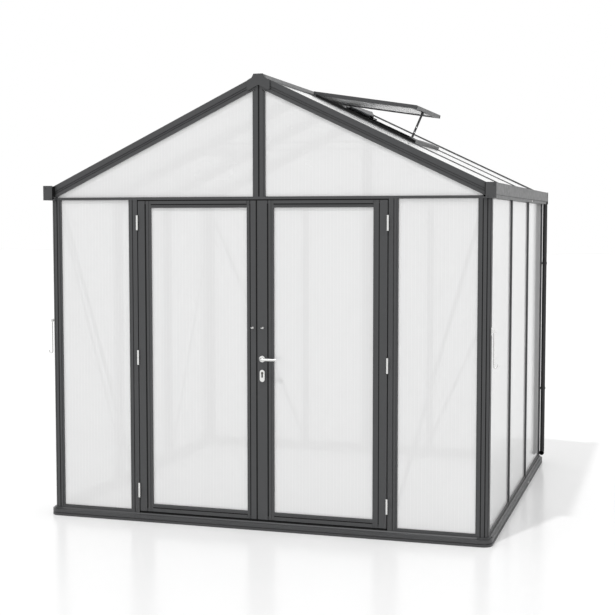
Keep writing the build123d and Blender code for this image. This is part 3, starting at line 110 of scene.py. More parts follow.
class GreenhouseSheets(bpy.types.PropertyGroup):
    """Sizes of the fluted sheets and of the members that hold them."""

    half_width: length("Half width", POSTS[1].x, "From the middle to the outer face of a side wall")
    half_depth: length("Half depth", POSTS[1].y, "From the middle to the outer face of a gable wall")
    thick: length("Sheet thickness", 0.016, "Twin-wall sheet in the walls, doors and roof")
    recess: length("Sheet recess", 0.010, "From the wall's outer face to the sheet")
    cover: length("Lip cover", 0.009, "How far a lip covers the sheet's edge")
    pitch: length("Flute pitch", 0.021, "Distance between two ribs of a sheet")
    sink: length("Flute relief", 0.0001, "How far the skin sinks between two ribs")
    bar_half: length("Bar half width", 0.022, "Half a wall bar with its lips")
    mullion_half: length("Mullion half width", 0.038, "Half the mullion with its lips")
    side_bar: length("Side bar", 0.418, "From the middle to a side wall bar")
    rear_bar: length("Rear bar", 0.502, "From the middle to a rear wall bar")
    web_half: length("Roof bar web", 0.006, "Half the gap between two roof sheets")
    pitch_angle: angle("Roof pitch", 25.5, "Slope of both roof sides")
    apex: length("Apex", 2.63392, "Height where the two roof planes meet")
    gable_drop: length("Gable sheet drop", 0.032, "Gap between the roof plane and a gable sheet")
    roof_from: length("Roof sheet start", 0.0299, "Slope distance from the apex to a roof sheet")
    roof_to: length("Roof sheet end", 1.489, "Slope distance from the apex to a sheet's lower end")
    below_vent: length("Sheet below the vent", 0.7965, "Slope distance to the sheet below the vent")
    roof_lift: length("Roof sheet lift", 0.0002, "Gap under a roof sheet")
    vent_x: length("Vent axis", 0.054, "The vent's hinge axis, from the middle")
    vent_z: length("Vent axis height", 2.643615, "The vent's hinge axis above the ground")
    vent_fall: angle("Vent fall", 9.0, "Slope of the open vent")
    vent_from: length("Vent sheet start", 0.0285, "From the hinge axis to the vent's sheet")
    vent_to: length("Vent sheet end", 0.672, "From the hinge axis to the sheet's far end")
    vent_half: length("Vent sheet half width", 0.376, "Half the width of the vent's sheet")
    vent_thick: length("Vent sheet thickness", 0.010, "Sheet in the vent")


class GreenhouseFittings(bpy.types.PropertyGroup):
    """Sizes of the levers, seals, painted groove and gap shade strips, covers and screws."""

    lever_x: length("Lever axis", 0.020, "The spindle, from the middle")
    lever_z: length("Lever height", 1.015, "The spindle above the ground")
    lever_out: length("Lever reach", 0.046, "From the leaf's face to the middle of the grip")
    lever_long: length("Lever length", 0.102, "From the spindle to the tip")
    lever_bend: length("Lever bend", 0.013, "Radius of the bend between neck and grip")
    neck: length("Neck radius", 0.008, "Round neck of the lever")
    grip_high: length("Grip half height", 0.0075, "Half the height of the grip")
    grip_deep: length("Grip half depth", 0.0055, "Half the depth of the grip")
    leaf_deep: length("Leaf depth", 0.040, "Thickness of a door leaf")
    leaf_low: length("Leaf bottom", 0.062, "Lower edge of a leaf")
    leaf_high: length("Leaf top", 1.938, "Upper edge of a leaf")
    meet_left: length("Left meeting edge", -0.0185, "Edge of the left leaf at the gap")
    meet_right: length("Right meeting edge", -0.0125, "Edge of the right leaf at the gap")
    lip_out: length("Seal lip", 0.0042, "How far a meeting seal stands out of its leaf")
    lip_thick: length("Seal thickness", 0.003, "Thickness of a meeting seal")
    lip_right: length("Right seal depth", 0.028, "From the front to the right leaf's meeting seal")
    lip_left: length("Left seal depth", 0.034, "From the front to the left leaf's meeting seal")
    brush: length("Brush height", 0.0032, "Height of the brush under a leaf")
    brush_from: length("Brush front", 0.014, "From the front to the brush")
    brush_to: length("Brush back", 0.022, "From the front to the back of the brush")
    screw: length("Screw radius", 0.0055, "Radius of a screw head")
    clip: length("Clip screw radius", 0.007, "Radius of the bright screws at the side bars")
    cap_inner: length("Inner cap screw", 0.044, "From a gutter cap's outer edge to its inner screw")
    cap_edge: length("Cap screw edge", 0.014, "From a gutter cap's edges to its screws")
    clip_low: length("Low clip screw", 0.020, "Height of the lower bright screws")
    clip_high: length("High clip screw", 0.010, "From the gutter caps' lower edge up to the upper ones")
    groove: length("Groove", 0.006, "Width and depth of the grooves in leaves and mullions")
    # Painted shade: the next three sizes shape the black strips that darken the grooves of leaves and
    # mullions
    gasket_lip: length("Gasket lip", 0.00125, "How far a gasket covers the face beside its groove")
    gasket_proud: length("Gasket height", 0.0006, "Thickness of a gasket's lip")
    rail_gasket: length("Rail gasket end", 0.015, "From a pane's side edge to a rail gasket's end")
    hinge_groove: length("Hinge stile groove", 0.048, "From a leaf's hinge edge to its groove")
    left_groove: length("Left meeting groove", 0.037, "From the left leaf's meeting edge to its groove")
    right_groove: length("Right meeting groove", 0.066, "From the right leaf's meeting edge to its groove")
    top_groove: length("Top rail groove", 0.021, "From a leaf's top to its groove")
    low_groove: length("Bottom rail groove", 0.024, "From a leaf's bottom to its groove")
    post_round: length("Post radius", 0.040, "Radius of the rounded corner of a post")
    post_groove: length("Post groove", 0.0055, "From a post's rounding to its next groove")
    post_low: length("Post bottom", 0.050, "Lower end of a corner post")
    post_first: angle("First post groove", -62.0, "Turn of one groove in a post's rounding, from the side")
    post_second: angle("Second post groove", -28.0, "Turn of the other groove in a post's rounding")
    trough: length("Trough wall", 1.327, "From the middle to the inner wall of a gutter")
    seal_side: length("Gutter seal side", 0.0062, "From that wall to the seal at a gutter's end")
    seal_reach: length("Gutter seal", 0.005, "Width of the seal between a gutter's end cap and the gable")
    seal_low: length("Gutter seal bottom", 1.9665, "Lower edge of that seal")
    seal_high: length("Gutter seal top", 2.030, "Upper edge of that seal")
    cover_past: length("Corner cover end", 0.004, "How far a cover reaches past a roof sheet's lower end")
    cover_over: length("Corner cover height", 0.003, "How far a cover stands over a roof sheet")
    cover_thick: length("Corner cover thickness", 0.0035, "Thickness of a cover at a roof sheet's corner")
    beam_low: length("Beam bottom", 1.945, "Lower edge of the tie beam over the leaves")
    # Painted shade: the next six sizes place black strips that darken the gaps beside, under and over the
    # leaves
    frame_seal: length("Hinge seal edge", 0.0055, "From a leaf's hinge edge to its seal's far edge")
    frame_from: length("Hinge seal front", 0.006, "From the front to the seals beside the hinges")
    frame_to: length("Hinge seal back", 0.010, "From the front to the back of those seals")
    rail_from: length("Rail seal front", 0.002, "From the front to the seals under and over the leaves")
    low_to: length("Low seal back", 0.030, "From the front to the back of the seal under the leaves")
    head_to: length("Head seal back", 0.012, "From the front to the back of the seal over the leaves")
    hinge_mid: length("Middle hinge", 1.000, "Height of the middle hinges")
    hinge_step: length("Hinge step", 0.809, "From the middle hinges to the upper and lower ones")
    hinge_half: length("Hinge clearance", 0.047, "Room kept above and below the middle of a hinge")
    slot_low: length("Cylinder slot", 0.906, "Lower end of the dark slot under the plug")
    slot_high: length("Cylinder slot top", 0.926, "Upper end of the dark slot under the plug")
    slot_half: length("Cylinder slot half width", 0.0045, "Half the width of the slot")
    plate: length("Lock plate", 0.008, "How far the lock plates stand out of the leaf")


class GreenhouseFinishes(bpy.types.PropertyGroup):
    """Colours of the finishes, and how the sheets carry and mirror light."""

    frame_aluminium: colour("Frame", (0.054, 0.055, 0.057), "Anthracite powder coat")
    grey_aluminium: colour("Grey tube", (0.30, 0.31, 0.32), "Grey anodised aluminium")
    twin_wall_sheet: colour("Sheet", (0.98, 0.98, 0.98), "Clear twin-wall sheet")
    bright_steel: colour("Bright steel", (0.80, 0.80, 0.79), "Satin stainless steel")
    plain_steel: colour("Plain steel", (0.50, 0.50, 0.51), "Zinc plated steel")
    black_plastic: colour("Black plastic", (0.018, 0.018, 0.019), "Downpipes and caps")
    black_rubber: colour("Black rubber", (0.012, 0.012, 0.012), "Seals")
    lock_brass: colour("Lock plug", (0.12, 0.115, 0.10), "Dark burnished brass")
    clear: share("Clear share", 0.19, "Light that goes straight through a sheet's outer skin")
    room_clear: share("Inner clear share", 0.86, "Light that goes straight through a sheet's inner skin")
    through: share("Scattered share", 0.06, "Part of the rest that a skin scatters forward")
    rib_white: share("Rib white", 0.10, "White that a rib adds to a skin")
    rib_from: share("Rib start", 0.40, "Where a rib's line begins, in flutes from a flute's middle")
    rib_to: share("Rib end", 0.47, "Where a rib's line is full")
    # Painted shadow: the next three values draw a thin grey line beside each rib of a sheet
    edge_from: share("Rib edge start", 0.30, "Where the grey beside a rib begins")
    edge_to: share("Rib edge end", 0.42, "Where that grey is full")
    edge_shade: share("Rib edge shade", 0.96, "Brightness of that grey")
    dust: share("Dust", 0.22, "Roughness that dust adds above the eaves")
    dust_low: length("Dust start", 1.96, "Height where the dust begins")
    dust_high: length("Dust full", 2.06, "Height where the dust is full")
    mirror: share("Mirror part", 0.04, "Light that a sheet mirrors when seen straight on")
    mirror_rise: share("Mirror rise", 5.0, "Power by which that part grows towards grazing angles")


class GreenhouseStage(bpy.types.PropertyGroup):
    """Camera, light and floor."""

    camera_x: length("Camera X", 2.367, "Camera place")
    camera_y: length("Camera Y", -8.122, "Camera place")
    camera_z: length("Camera Z", 1.817, "Camera height")
    yaw: angle("Camera yaw", 16.89, "Turn to the left of +Y")
    tilt: angle("Camera tilt", 3.97, "Turn below the horizon")
    lens: share("Lens", 72.6, "Focal length in mm")
    sensor: share("Sensor", 36.0, "Width of the camera's sensor in mm")
    far: length("View end", 200.0, "Distance that the camera sees")
    sun_height: angle("Key height", 64.0, "Height of the key light above the horizon")
    sun_turn: angle("Key turn", 20.5, "Turn of the key light to the left of the front")
    sun_soft: angle("Key softness", 2.2, "Apparent size of the key light")
    sun: share("Key strength", 0.95, "Strength of the key light")
    sun_place: length("Key place", 6.0, "Where the key light hangs above the ground")
    dome: share("Dome strength", 0.88, "Soft light from all round")
    floor_size: length("Floor", 60.0, "Half the floor's side")
    floor_colour: colour("Floor colour", (0.82, 0.82, 0.82), "Pale floor")
    floor_gloss: share("Floor gloss", 0.12, "Mirror part of the floor")
    floor_glow: share("Floor white", 0.11, "White that the camera sees on the floor beside its lit colour")


def settings(name):
    """One of the property groups of the scene."""
    return getattr(bpy.context.scene, "greenhouse_" + name)


# Surfaces


def tube(rings):
    """Faces of a surface given as n rings of m points each: rings[i, j] is its point at step i along
    the path and step j round the section. Both ends are capped, and the faces are turned outward by
    the sign of the enclosed volume."""
    count, around = rings.shape[:2]
    steps = np.arange(count - 1)[:, None]
    j = np.arange(around)[None, :]
    after = steps + 1
    beside = (j + 1) % around
    corners = (steps * around + j, steps * around + beside, after * around + beside, after * around + j)
    quads = np.stack(corners, axis=-1).reshape(-1, 4)
    points = rings.reshape(-1, 3)
    middle = points.mean(axis=0)
    a, b, c, d = (points[quads[:, k]] - middle for k in range(4))
    volume = (np.cross(a, b) * c).sum() + (np.cross(a, c) * d).sum()
    faces = quads.tolist()
    faces.append(list(range(around))[::-1])
    faces.append(list(range((count - 1) * around, count * around)))
    if volume < 0:
        faces = [face[::-1] for face in faces]
    return points, faces


def surface(rings, round_section=False, flutes=None):
    """One closed surface of a piece. round_section smooths its sides, flutes holds its UV values."""
    points, faces = tube(rings)
    smooth = np.full(len(faces), round_section)
    smooth[-2:] = False
    return {"points": points, "faces": faces, "smooth": smooth, "flutes": flutes}


def piece(name, surfaces, finish, body, replaces=None):
    """Joins surfaces into one named object, gives it a finish and lets it ride on a CAD body."""
    points = np.concatenate([s["points"] for s in surfaces])
    faces = []
    start = 0
    for s in surfaces:
        faces += [[start + k for k in face] for face in s["faces"]]
        start += len(s["points"])
    mesh = bpy.data.meshes.new(name)
    mesh.from_pydata(points.tolist(), [], faces)
    mesh.polygons.foreach_set("use_smooth", np.concatenate([s["smooth"] for s in surfaces]))
    if surfaces[0]["flutes"] is not None:
        values = np.concatenate([s["flutes"] for s in surfaces])
        corners = np.empty(len(mesh.loops), np.int32)
        mesh.loops.foreach_get("vertex_index", corners)
        layer = mesh.uv_layers.new(name="flutes")
        layer.uv.foreach_set("vector", values[corners].astype(np.float32).ravel())
    mesh.update()
    made = bpy.data.objects.new(name, mesh)
    bpy.context.scene.collection.objects.link(made)
    mesh.materials.append(material(finish))
    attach(made, body)
    if replaces:
        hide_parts(replaces)


def sheet(origin, across, along, span, low, high, thick):
    """Fluted sheet: a rectangle section, low to high along the flutes and thick through the sheet,
    carried across the flutes over span. Its thickness falls between two ribs as a raised cosine. Its
    UV values are the count of flutes, and 1 on the weather side and 0 on the side that faces a point
    in the middle of the room."""
    sizes = settings("sheets")
    wide = span[1] - span[0]
    cells = max(1, round(wide / sizes.pitch))
    u = np.linspace(span[0], span[1], FLUTE_STEPS * cells + 1)
    turn = cells * (u - span[0]) / wide
    half = thick / 2 - sizes.sink * (0.5 - 0.5 * np.cos(2 * math.pi * turn))
    low = np.broadcast_to(low, u.shape)
    high = np.broadcast_to(high, u.shape)
    origin = np.array(origin)
    across = np.array(across, float)
    along = np.array(along, float)
    out = np.cross(across, along)
    centre = origin + u.mean() * across + (low + high).mean() / 2 * along
    room = np.array((0.0, 0.0, sizes.half_depth))
    weather = np.sign(out @ (centre - room))
    rows = []
    values = []
    for height, side in ((low, 1), (high, 1), (high, -1), (low, -1)):
        rows.append(origin + np.outer(u, across) + np.outer(height, along) + np.outer(side * half, out))
        values.append(np.stack([turn, np.full(u.shape, float(side == weather))], axis=-1))
    rings = np.stack(rows, axis=1)
    flutes = np.stack(values, axis=1).reshape(-1, 2)
    return surface(rings, flutes=flutes)


def strip(low, high):
    """Plain bar between two corners: a rectangle section carried along X, Y or Z, whichever is longest."""
    low = np.array(low, float)
    high = np.array(high, float)
    run = int(np.argmax(high - low))
    one, two = [k for k in range(3) if k != run]
    rings = np.empty((2, 4, 3))
    for step, end in enumerate((low, high)):
        rings[step, :, run] = end[run]
        rings[step, :, one] = (low[one], high[one], high[one], low[one])
        rings[step, :, two] = (low[two], low[two], high[two], high[two])
    return surface(rings)


def screw(place, axis, radius):
    """Screw head: a circle whose radius and height follow a profile from the rim over the dome and
    down into a socket, turned about the axis."""
    out = Vector(axis).normalized()
    one = np.array(out.orthogonal().normalized())
    two = np.cross(np.array(out), one)
    rim = [(1.0, -0.1), (1.0, 0.16)]
    dome = [(0.86, 0.36), (0.62, 0.46), (0.42, 0.48)]
    socket = [(0.36, 0.2)]
    profile = np.array(rim + dome + socket) * radius
    turn = np.linspace(0, 2 * math.pi, SCREW_STEPS, endpoint=False)
    circle = np.outer(np.cos(turn), one) + np.outer(np.sin(turn), two)
    rings = np.array(place) + profile[:, :1, None] * circle[None] + profile[:, 1:, None] * np.array(out)
    return surface(rings)


def lever(face, out):
    """Lever: a round neck goes out of the leaf, bends by a quarter circle and becomes a flat oval grip
    with a round tip. Section half sizes are blended along the path by a smooth step."""
    sizes = settings("fittings")
    bend = sizes.lever_bend
    straight = np.linspace(0, sizes.lever_out - bend, NECK_STEPS)
    turn = np.linspace(0, math.pi / 2, BEND_STEPS)[1:]
    run = np.linspace(0, 1, GRIP_STEPS)[1:]
    reach = sizes.lever_long - bend
    x = np.concatenate([0 * straight, bend * (1 - np.cos(turn)), bend + reach * run])
    y = np.concatenate([straight, sizes.lever_out - bend + bend * np.sin(turn), sizes.lever_out + 0 * run])
    heading = np.concatenate([0 * straight, turn, math.pi / 2 + 0 * run])
    grow = np.clip((x + y - straight[-1]) / (GRIP_FULL * bend), 0, 1)
    grow = grow * grow * (3 - 2 * grow)
    tip = np.clip((x - sizes.lever_long + sizes.grip_high) / sizes.grip_high, 0, TIP_END)
    end = np.sqrt(1 - tip * tip)
    deep = (sizes.neck + (sizes.grip_deep - sizes.neck) * grow) * end
    high = (sizes.neck + (sizes.grip_high - sizes.neck) * grow) * end
    centre = np.stack([sizes.lever_x + x, face + out * y, sizes.lever_z + 0 * x], axis=-1)
    side = np.stack([np.cos(heading), -out * np.sin(heading), 0 * x], axis=-1)
    turn = np.linspace(0, 2 * math.pi, LEVER_STEPS, endpoint=False)
    rings = centre[:, None] + (deep[:, None] * np.cos(turn))[..., None] * side[:, None]
    rings[..., 2] += high[:, None] * np.sin(turn)
    return surface(rings, round_section=True)


# Finishes


def node(tree, kind, inputs=None, **options):
    """Adds a shader node. Inputs are values or the output sockets to link."""
    made = tree.nodes.new(kind)
    for key, value in options.items():
        setattr(made, key, value)
    for key, value in (inputs or {}).items():
        if isinstance(value, bpy.types.NodeSocket):
            tree.links.new(value, made.inputs[key])
        else:
            made.inputs[key].default_value = value
    return made


def math_node(tree, operation, first, second=0.0):
    """Adds a Math node and returns its value."""
    return node(tree, "ShaderNodeMath", {0: first, 1: second}, operation=operation).outputs[0]


def spread(tree, value, low, high, start=0.3, end=0.7):
    """Maps a value from start to end onto low to high. The defaults suit a noise value."""
    inputs = {"Value": value, "From Min": start, "From Max": end, "To Min": low, "To Max": high}
    return node(tree, "ShaderNodeMapRange", inputs, clamp=True).outputs[0]


def noise(tree, place, scale, detail=3.0):
    """Adds a noise texture and returns its value."""
    return node(tree, "ShaderNodeTexNoise", {"Vector": place, "Scale": scale, "Detail": detail}).outputs[0]


def tinted(tree, base, factor, low, high):
    """A colour between two shades of base, by a factor."""
    dark, pale = ([min(1.0, c * scale) for c in base] + [1.0] for scale in (low, high))
    made = node(tree, "ShaderNodeMix", {0: factor, 6: dark, 7: pale}, data_type="RGBA")
    return made.outputs[2]


def layered(tree, part, below, above):
    """Mixes two shaders. part is the share of the second one."""
    return node(tree, "ShaderNodeMixShader", {0: part, 1: below.outputs[0], 2: above.outputs[0]})


def blank(name):
    """A new material without nodes, and its node tree and output."""
    made = bpy.data.materials.new(name)
    made.use_nodes = True
    made.node_tree.nodes.clear()
    out = made.node_tree.nodes.new("ShaderNodeOutputMaterial")
    return made, made.node_tree, out


def coated(name, grain, rough, metal, shades, lines=None, gloss=0.5):
    """A solid finish: cloudy shade, fine grain as bump and an uneven roughness. lines stretches the
    grain into brush marks along one axis."""
    made, tree, out = blank(name)
    base = getattr(settings("finishes"), name)
    place = node(tree, "ShaderNodeTexCoord").outputs["Object"]
    marks = place
    if lines:
        marks = node(tree, "ShaderNodeMapping", {"Vector": place, "Scale": lines}).outputs[0]
    fine = noise(tree, marks, grain)
    cloud = noise(tree, place, scale=2.6, detail=5.0)
    wear = noise(tree, place, scale=38.0, detail=6.0)
    bump = node(tree, "ShaderNodeBump", {"Height": fine, "Strength": 0.16, "Distance": 0.0004})
    inputs = {
        "Base Color": tinted(tree, base, cloud, shades[0], shades[1]),
        "Roughness": spread(tree, wear, rough[0], rough[1]),
        "Metallic": metal,
        "Specular IOR Level": gloss,
        "Normal": bump.outputs[0],
    }
    shader = node(tree, "ShaderNodeBsdfPrincipled", inputs)
    tree.links.new(shader.outputs[0], out.inputs[0])
    return made


def fluted_sheet(name):
    """Clear twin-wall sheet: part of the light goes straight through, part is scattered forward and
    the rest is a soft white, all under a gloss that grows towards grazing angles and is dustier above
    the eaves. Ribs show as paler lines, and the thin grey edge beside each rib is a painted shadow."""
    made, tree, out = blank(name)
    finishes = settings("finishes")
    base = finishes.twin_wall_sheet
    coords = node(tree, "ShaderNodeTexCoord")
    parts = node(tree, "ShaderNodeSeparateXYZ", {0: coords.outputs["UV"]})
    cell = math_node(tree, "FRACT", parts.outputs[0])
    away = math_node(tree, "ABSOLUTE", math_node(tree, "SUBTRACT", cell, 0.5))
    rib = spread(tree, away, 0.0, 1.0, finishes.rib_from, finishes.rib_to)
    # Painted shadow: a mask for the thin grey line beside each rib
    edge = spread(tree, away, 0.0, 1.0, finishes.edge_from, finishes.edge_to)
    cloud = noise(tree, coords.outputs["Object"], scale=3.0, detail=4.0)
    grain = noise(tree, coords.outputs["Object"], scale=420.0)
    bump = node(tree, "ShaderNodeBump", {"Height": grain, "Strength": 0.05, "Distance": 0.0003})
    # The sheet's colour, darkened by the painted rib shadow
    shade = tinted(tree, base, edge, 1.0, finishes.edge_shade)
    inputs = {"Base Color": shade, "Roughness": 0.6, "Specular IOR Level": 0.0, "Normal": bump.outputs[0]}
    body = node(tree, "ShaderNodeBsdfPrincipled", inputs)
    height = node(tree, "ShaderNodeSeparateXYZ", {0: coords.outputs["Object"]}).outputs[2]
    dust = spread(tree, height, 0.0, finishes.dust, finishes.dust_low, finishes.dust_high)
    rough = math_node(tree, "ADD", spread(tree, cloud, low=0.03, high=0.06), dust)
    inputs = {"Base Color": (1.0, 1.0, 1.0, 1.0), "Metallic": 1.0, "Roughness": rough}
    gloss = node(tree, "ShaderNodeBsdfPrincipled", inputs)
    scatter = node(tree, "ShaderNodeBsdfTranslucent", {"Color": shade})
    clear = node(tree, "ShaderNodeBsdfTransparent", {"Color": (0.985, 0.99, 0.99, 1.0)})
    white = layered(tree, finishes.through, body, scatter)
    skin = spread(tree, parts.outputs[1], 1.0 - finishes.room_clear, 1.0 - finishes.clear, 0.0, 1.0)
    seen = math_node(tree, "ADD", skin, math_node(tree, "MULTIPLY", rib, finishes.rib_white))
    mixed = layered(tree, seen, clear, white)
    facing = node(tree, "ShaderNodeLayerWeight", {"Blend": 0.5}).outputs["Facing"]
    grazing = math_node(tree, "POWER", facing, finishes.mirror_rise)
    glazed = layered(tree, spread(tree, grazing, finishes.mirror, 1.0, 0.0, 1.0), mixed, gloss)
    tree.links.new(glazed.outputs[0], out.inputs[0])
    return made


def material(name):
    """The finish of a material slot, made once."""
    if name in bpy.data.materials and bpy.data.materials[name].get("greenhouse"):
        return bpy.data.materials[name]
    stale = bpy.data.materials.get(name)
    if stale:
        stale.name = name + "_cad"
    if name == "twin_wall_sheet":
        made = fluted_sheet(name)
    elif name == "frame_aluminium":
        made = coated(name, grain=900.0, rough=(0.34, 0.46), metal=0.0, shades=(0.93, 1.07))
    elif name == "grey_aluminium":
        marks = (1.0, 1.0, 14.0)
        made = coated(name, grain=300.0, rough=(0.3, 0.42), metal=0.7, shades=(0.92, 1.08), lines=marks)
    elif name == "bright_steel":
        marks = (1.0, 1.0, 18.0)
        made = coated(name, grain=160.0, rough=(0.2, 0.32), metal=1.0, shades=(0.95, 1.05), lines=marks)
    elif name == "plain_steel":
        made = coated(name, grain=120.0, rough=(0.3, 0.46), metal=1.0, shades=(0.86, 1.1))
    elif name == "lock_brass":
        marks = (12.0, 1.0, 1.0)
        made = coated(name, grain=200.0, rough=(0.22, 0.34), metal=1.0, shades=(0.94, 1.06), lines=marks)
    elif name == "black_plastic":
        made = coated(name, grain=500.0, rough=(0.4, 0.55), metal=0.0, shades=(0.85, 1.2))
    elif name == "black_rubber":
        made = coated(name, grain=350.0, rough=(0.62, 0.8), metal=0.0, shades=(0.8, 1.25), gloss=0.1)
    else:
        raise RuntimeError("no finish is known for material slot " + name)
    made["greenhouse"] = True
    return made


# Operators


class GREENHOUSE_OT_finish_cad(bpy.types.Operator):
    """Give every CAD node the finish of its material slot"""

    bl_idname = "greenhouse.finish_cad"
    bl_label = "CAD finishes"

    def execute(self, context):
        for part in frame["record"]["subparts"]:
            shape = frame["nodes"][part["node"]].data
            shape.materials.clear()
            shape.materials.append(material(part["material_slot"]))
        return {"FINISHED"}


class GREENHOUSE_OT_wall_panes(bpy.types.Operator):
    """Build the fluted sheets of the four walls"""

    bl_idname = "greenhouse.wall_panes"
    bl_label = "Wall panes"

    def execute(self, context):
        sizes = settings("sheets")
        deep = sizes.recess + sizes.thick / 2
        lip = sizes.bar_half - sizes.cover
        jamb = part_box("door_jambs")[1].x - sizes.cover
        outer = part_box("front_side_panes")[1].x
        middle = sizes.mullion_half - sizes.cover
        ends = {
            "front_side_panes": (-1, [(jamb, outer)]),
            "rear_wall_panes": (1, [(middle, sizes.rear_bar - lip), (sizes.rear_bar + lip, outer)]),
        }
        for name, (side, fields) in ends.items():
            low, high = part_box(name)
            origin = (0.0, side * (sizes.half_depth - deep), 0.0)
            made = []
            for field in fields:
                for span in (field, (-field[1], -field[0])):
                    made.append(sheet(origin, (1, 0, 0), (0, 0, 1), span, low.z, high.z, sizes.thick))
            piece("sheet_" + name, made, "twin_wall_sheet", "house", name)
        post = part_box("right_wall_panes")[1].y
        bar = sizes.side_bar
        for name, side in (("right_wall_panes", 1), ("left_wall_panes", -1)):
            low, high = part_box(name)
            origin = (side * (sizes.half_width - deep), 0.0, 0.0)
            made = []
            for span in ((-post, -bar - lip), (-bar + lip, bar - lip), (bar + lip, post)):
                made.append(sheet(origin, (0, 1, 0), (0, 0, 1), span, low.z, high.z, sizes.thick))
            piece("sheet_" + name, made, "twin_wall_sheet", "house", name)
        return {"FINISHED"}


class GREENHOUSE_OT_gable_panes(bpy.types.Operator):
    """Build the fluted sheets of the two gables, cut to the roof's slope"""

    bl_idname = "greenhouse.gable_panes"
    bl_label = "Gable panes"

    def execute(self, context):
        sizes = settings("sheets")
        low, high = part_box("gable_panes")
        inner = sizes.mullion_half - sizes.cover
        deep = sizes.half_depth - sizes.recess - sizes.thick / 2
        cells = max(1, round((high.x - inner) / sizes.pitch))
        x = np.linspace(inner, high.x, FLUTE_STEPS * cells + 1)
        slope = math.tan(sizes.pitch_angle)
        top = sizes.apex - x * slope - sizes.gable_drop / math.cos(sizes.pitch_angle)
        top = np.maximum(top, low.z + THIN_END)
        halves = (((inner, high.x), top), ((-high.x, -inner), top[::-1]))
        made = []
        for side in (-1, 1):
            origin = (0.0, side * deep, 0.0)
            for span, edge in halves:
                made.append(sheet(origin, (1, 0, 0), (0, 0, 1), span, low.z, edge, sizes.thick))
        piece("sheet_gable_panes", made, "twin_wall_sheet", "house", "gable_panes")
        return {"FINISHED"}


class GREENHOUSE_OT_roof_panes(bpy.types.Operator):
    """Build the fluted sheets of the roof, with the field under the vent left open"""

    bl_idname = "greenhouse.roof_panes"
    bl_label = "Roof panes"

    def execute(self, context):
        sizes = settings("sheets")
        bar = sizes.side_bar
        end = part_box("right_roof_panes")[1].y
        lift = sizes.roof_lift + sizes.thick / 2
        fields = [(-end, -bar - sizes.web_half), (-bar + sizes.web_half, bar - sizes.web_half)]
        fields.append((bar + sizes.web_half, end))
        run = math.cos(sizes.pitch_angle)
        fall = math.sin(sizes.pitch_angle)
        for name, side in (("right_roof_panes", 1), ("left_roof_panes", -1)):
            origin = (side * fall * lift, 0.0, sizes.apex + run * lift)
            down = (side * run, 0, -fall)
            made = []
            for number, span in enumerate(fields):
                start = sizes.below_vent if (number == 1 and side > 0) else sizes.roof_from
                made.append(sheet(origin, (0, 1, 0), down, span, start, sizes.roof_to, sizes.thick))
            piece("sheet_" + name, made, "twin_wall_sheet", "house", name)
        return {"FINISHED"}


class GREENHOUSE_OT_door_panes(bpy.types.Operator):
    """Build the fluted sheets of the two door leaves"""

    bl_idname = "greenhouse.door_panes"
    bl_label = "Door panes"

    def execute(self, context):
        sizes = settings("sheets")
        for body in ("door_left", "door_right"):
            low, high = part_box(body + "_pane")
            origin = (0.0, (low.y + high.y) / 2, 0.0)
            made = [sheet(origin, (1, 0, 0), (0, 0, 1), (low.x, high.x), low.z, high.z, sizes.thick)]
            piece("sheet_" + body, made, "twin_wall_sheet", body, body + "_pane")
        return {"FINISHED"}


class GREENHOUSE_OT_vent_pane(bpy.types.Operator):
    """Build the fluted sheet of the open roof vent"""

    bl_idname = "greenhouse.vent_pane"
    bl_label = "Vent pane"

    def execute(self, context):
        sizes = settings("sheets")
        down = (math.cos(sizes.vent_fall), 0, -math.sin(sizes.vent_fall))
        origin = (sizes.vent_x, 0.0, sizes.vent_z)
        span = (-sizes.vent_half, sizes.vent_half)
        made = [sheet(origin, (0, 1, 0), down, span, sizes.vent_from, sizes.vent_to, sizes.vent_thick)]
        piece("sheet_vent", made, "twin_wall_sheet", "vent", "vent_pane")
        return {"FINISHED"}


class GREENHOUSE_OT_levers(bpy.types.Operator):
    """Build the rounded levers on both faces of the right leaf"""

    bl_idname = "greenhouse.levers"
    bl_label = "Levers"

    def execute(self, context):
        sizes = settings("fittings")
        front = -settings("sheets").half_depth
        made = [lever(front, -1), lever(front + sizes.leaf_deep, 1)]
        piece("levers", made, "bright_steel", "lever", "lever_handle")
        return {"FINISHED"}


class GREENHOUSE_OT_seals(bpy.types.Operator):
    """Build the rubber lips at the meeting edges and the brushes under the leaves"""

    bl_idname = "greenhouse.seals"
    bl_label = "Door seals"

    def execute(self, context):
        sizes = settings("fittings")
        front = -settings("sheets").half_depth
        low = sizes.leaf_low
        high = sizes.leaf_high
        under = low - sizes.brush
        brush = (front + sizes.brush_from, front + sizes.brush_to)
        meet = sizes.meet_right
        face = front + sizes.lip_right
        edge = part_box("door_right_frame")[1].x
        made = [strip((meet - sizes.lip_out, face, low), (meet, face + sizes.lip_thick, high))]
        made.append(strip((meet, brush[0], under), (edge, brush[1], low)))
        piece("seal_right", made, "black_rubber", "door_right")
        meet = sizes.meet_left
        face = front + sizes.lip_left
        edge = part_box("door_left_frame")[0].x
        made = [strip((meet, face, low), (meet + sizes.lip_out, face + sizes.lip_thick, high))]
        made.append(strip((edge, brush[0], under), (meet, brush[1], low)))
        piece("seal_left", made, "black_rubber", "door_left")
        return {"FINISHED"}


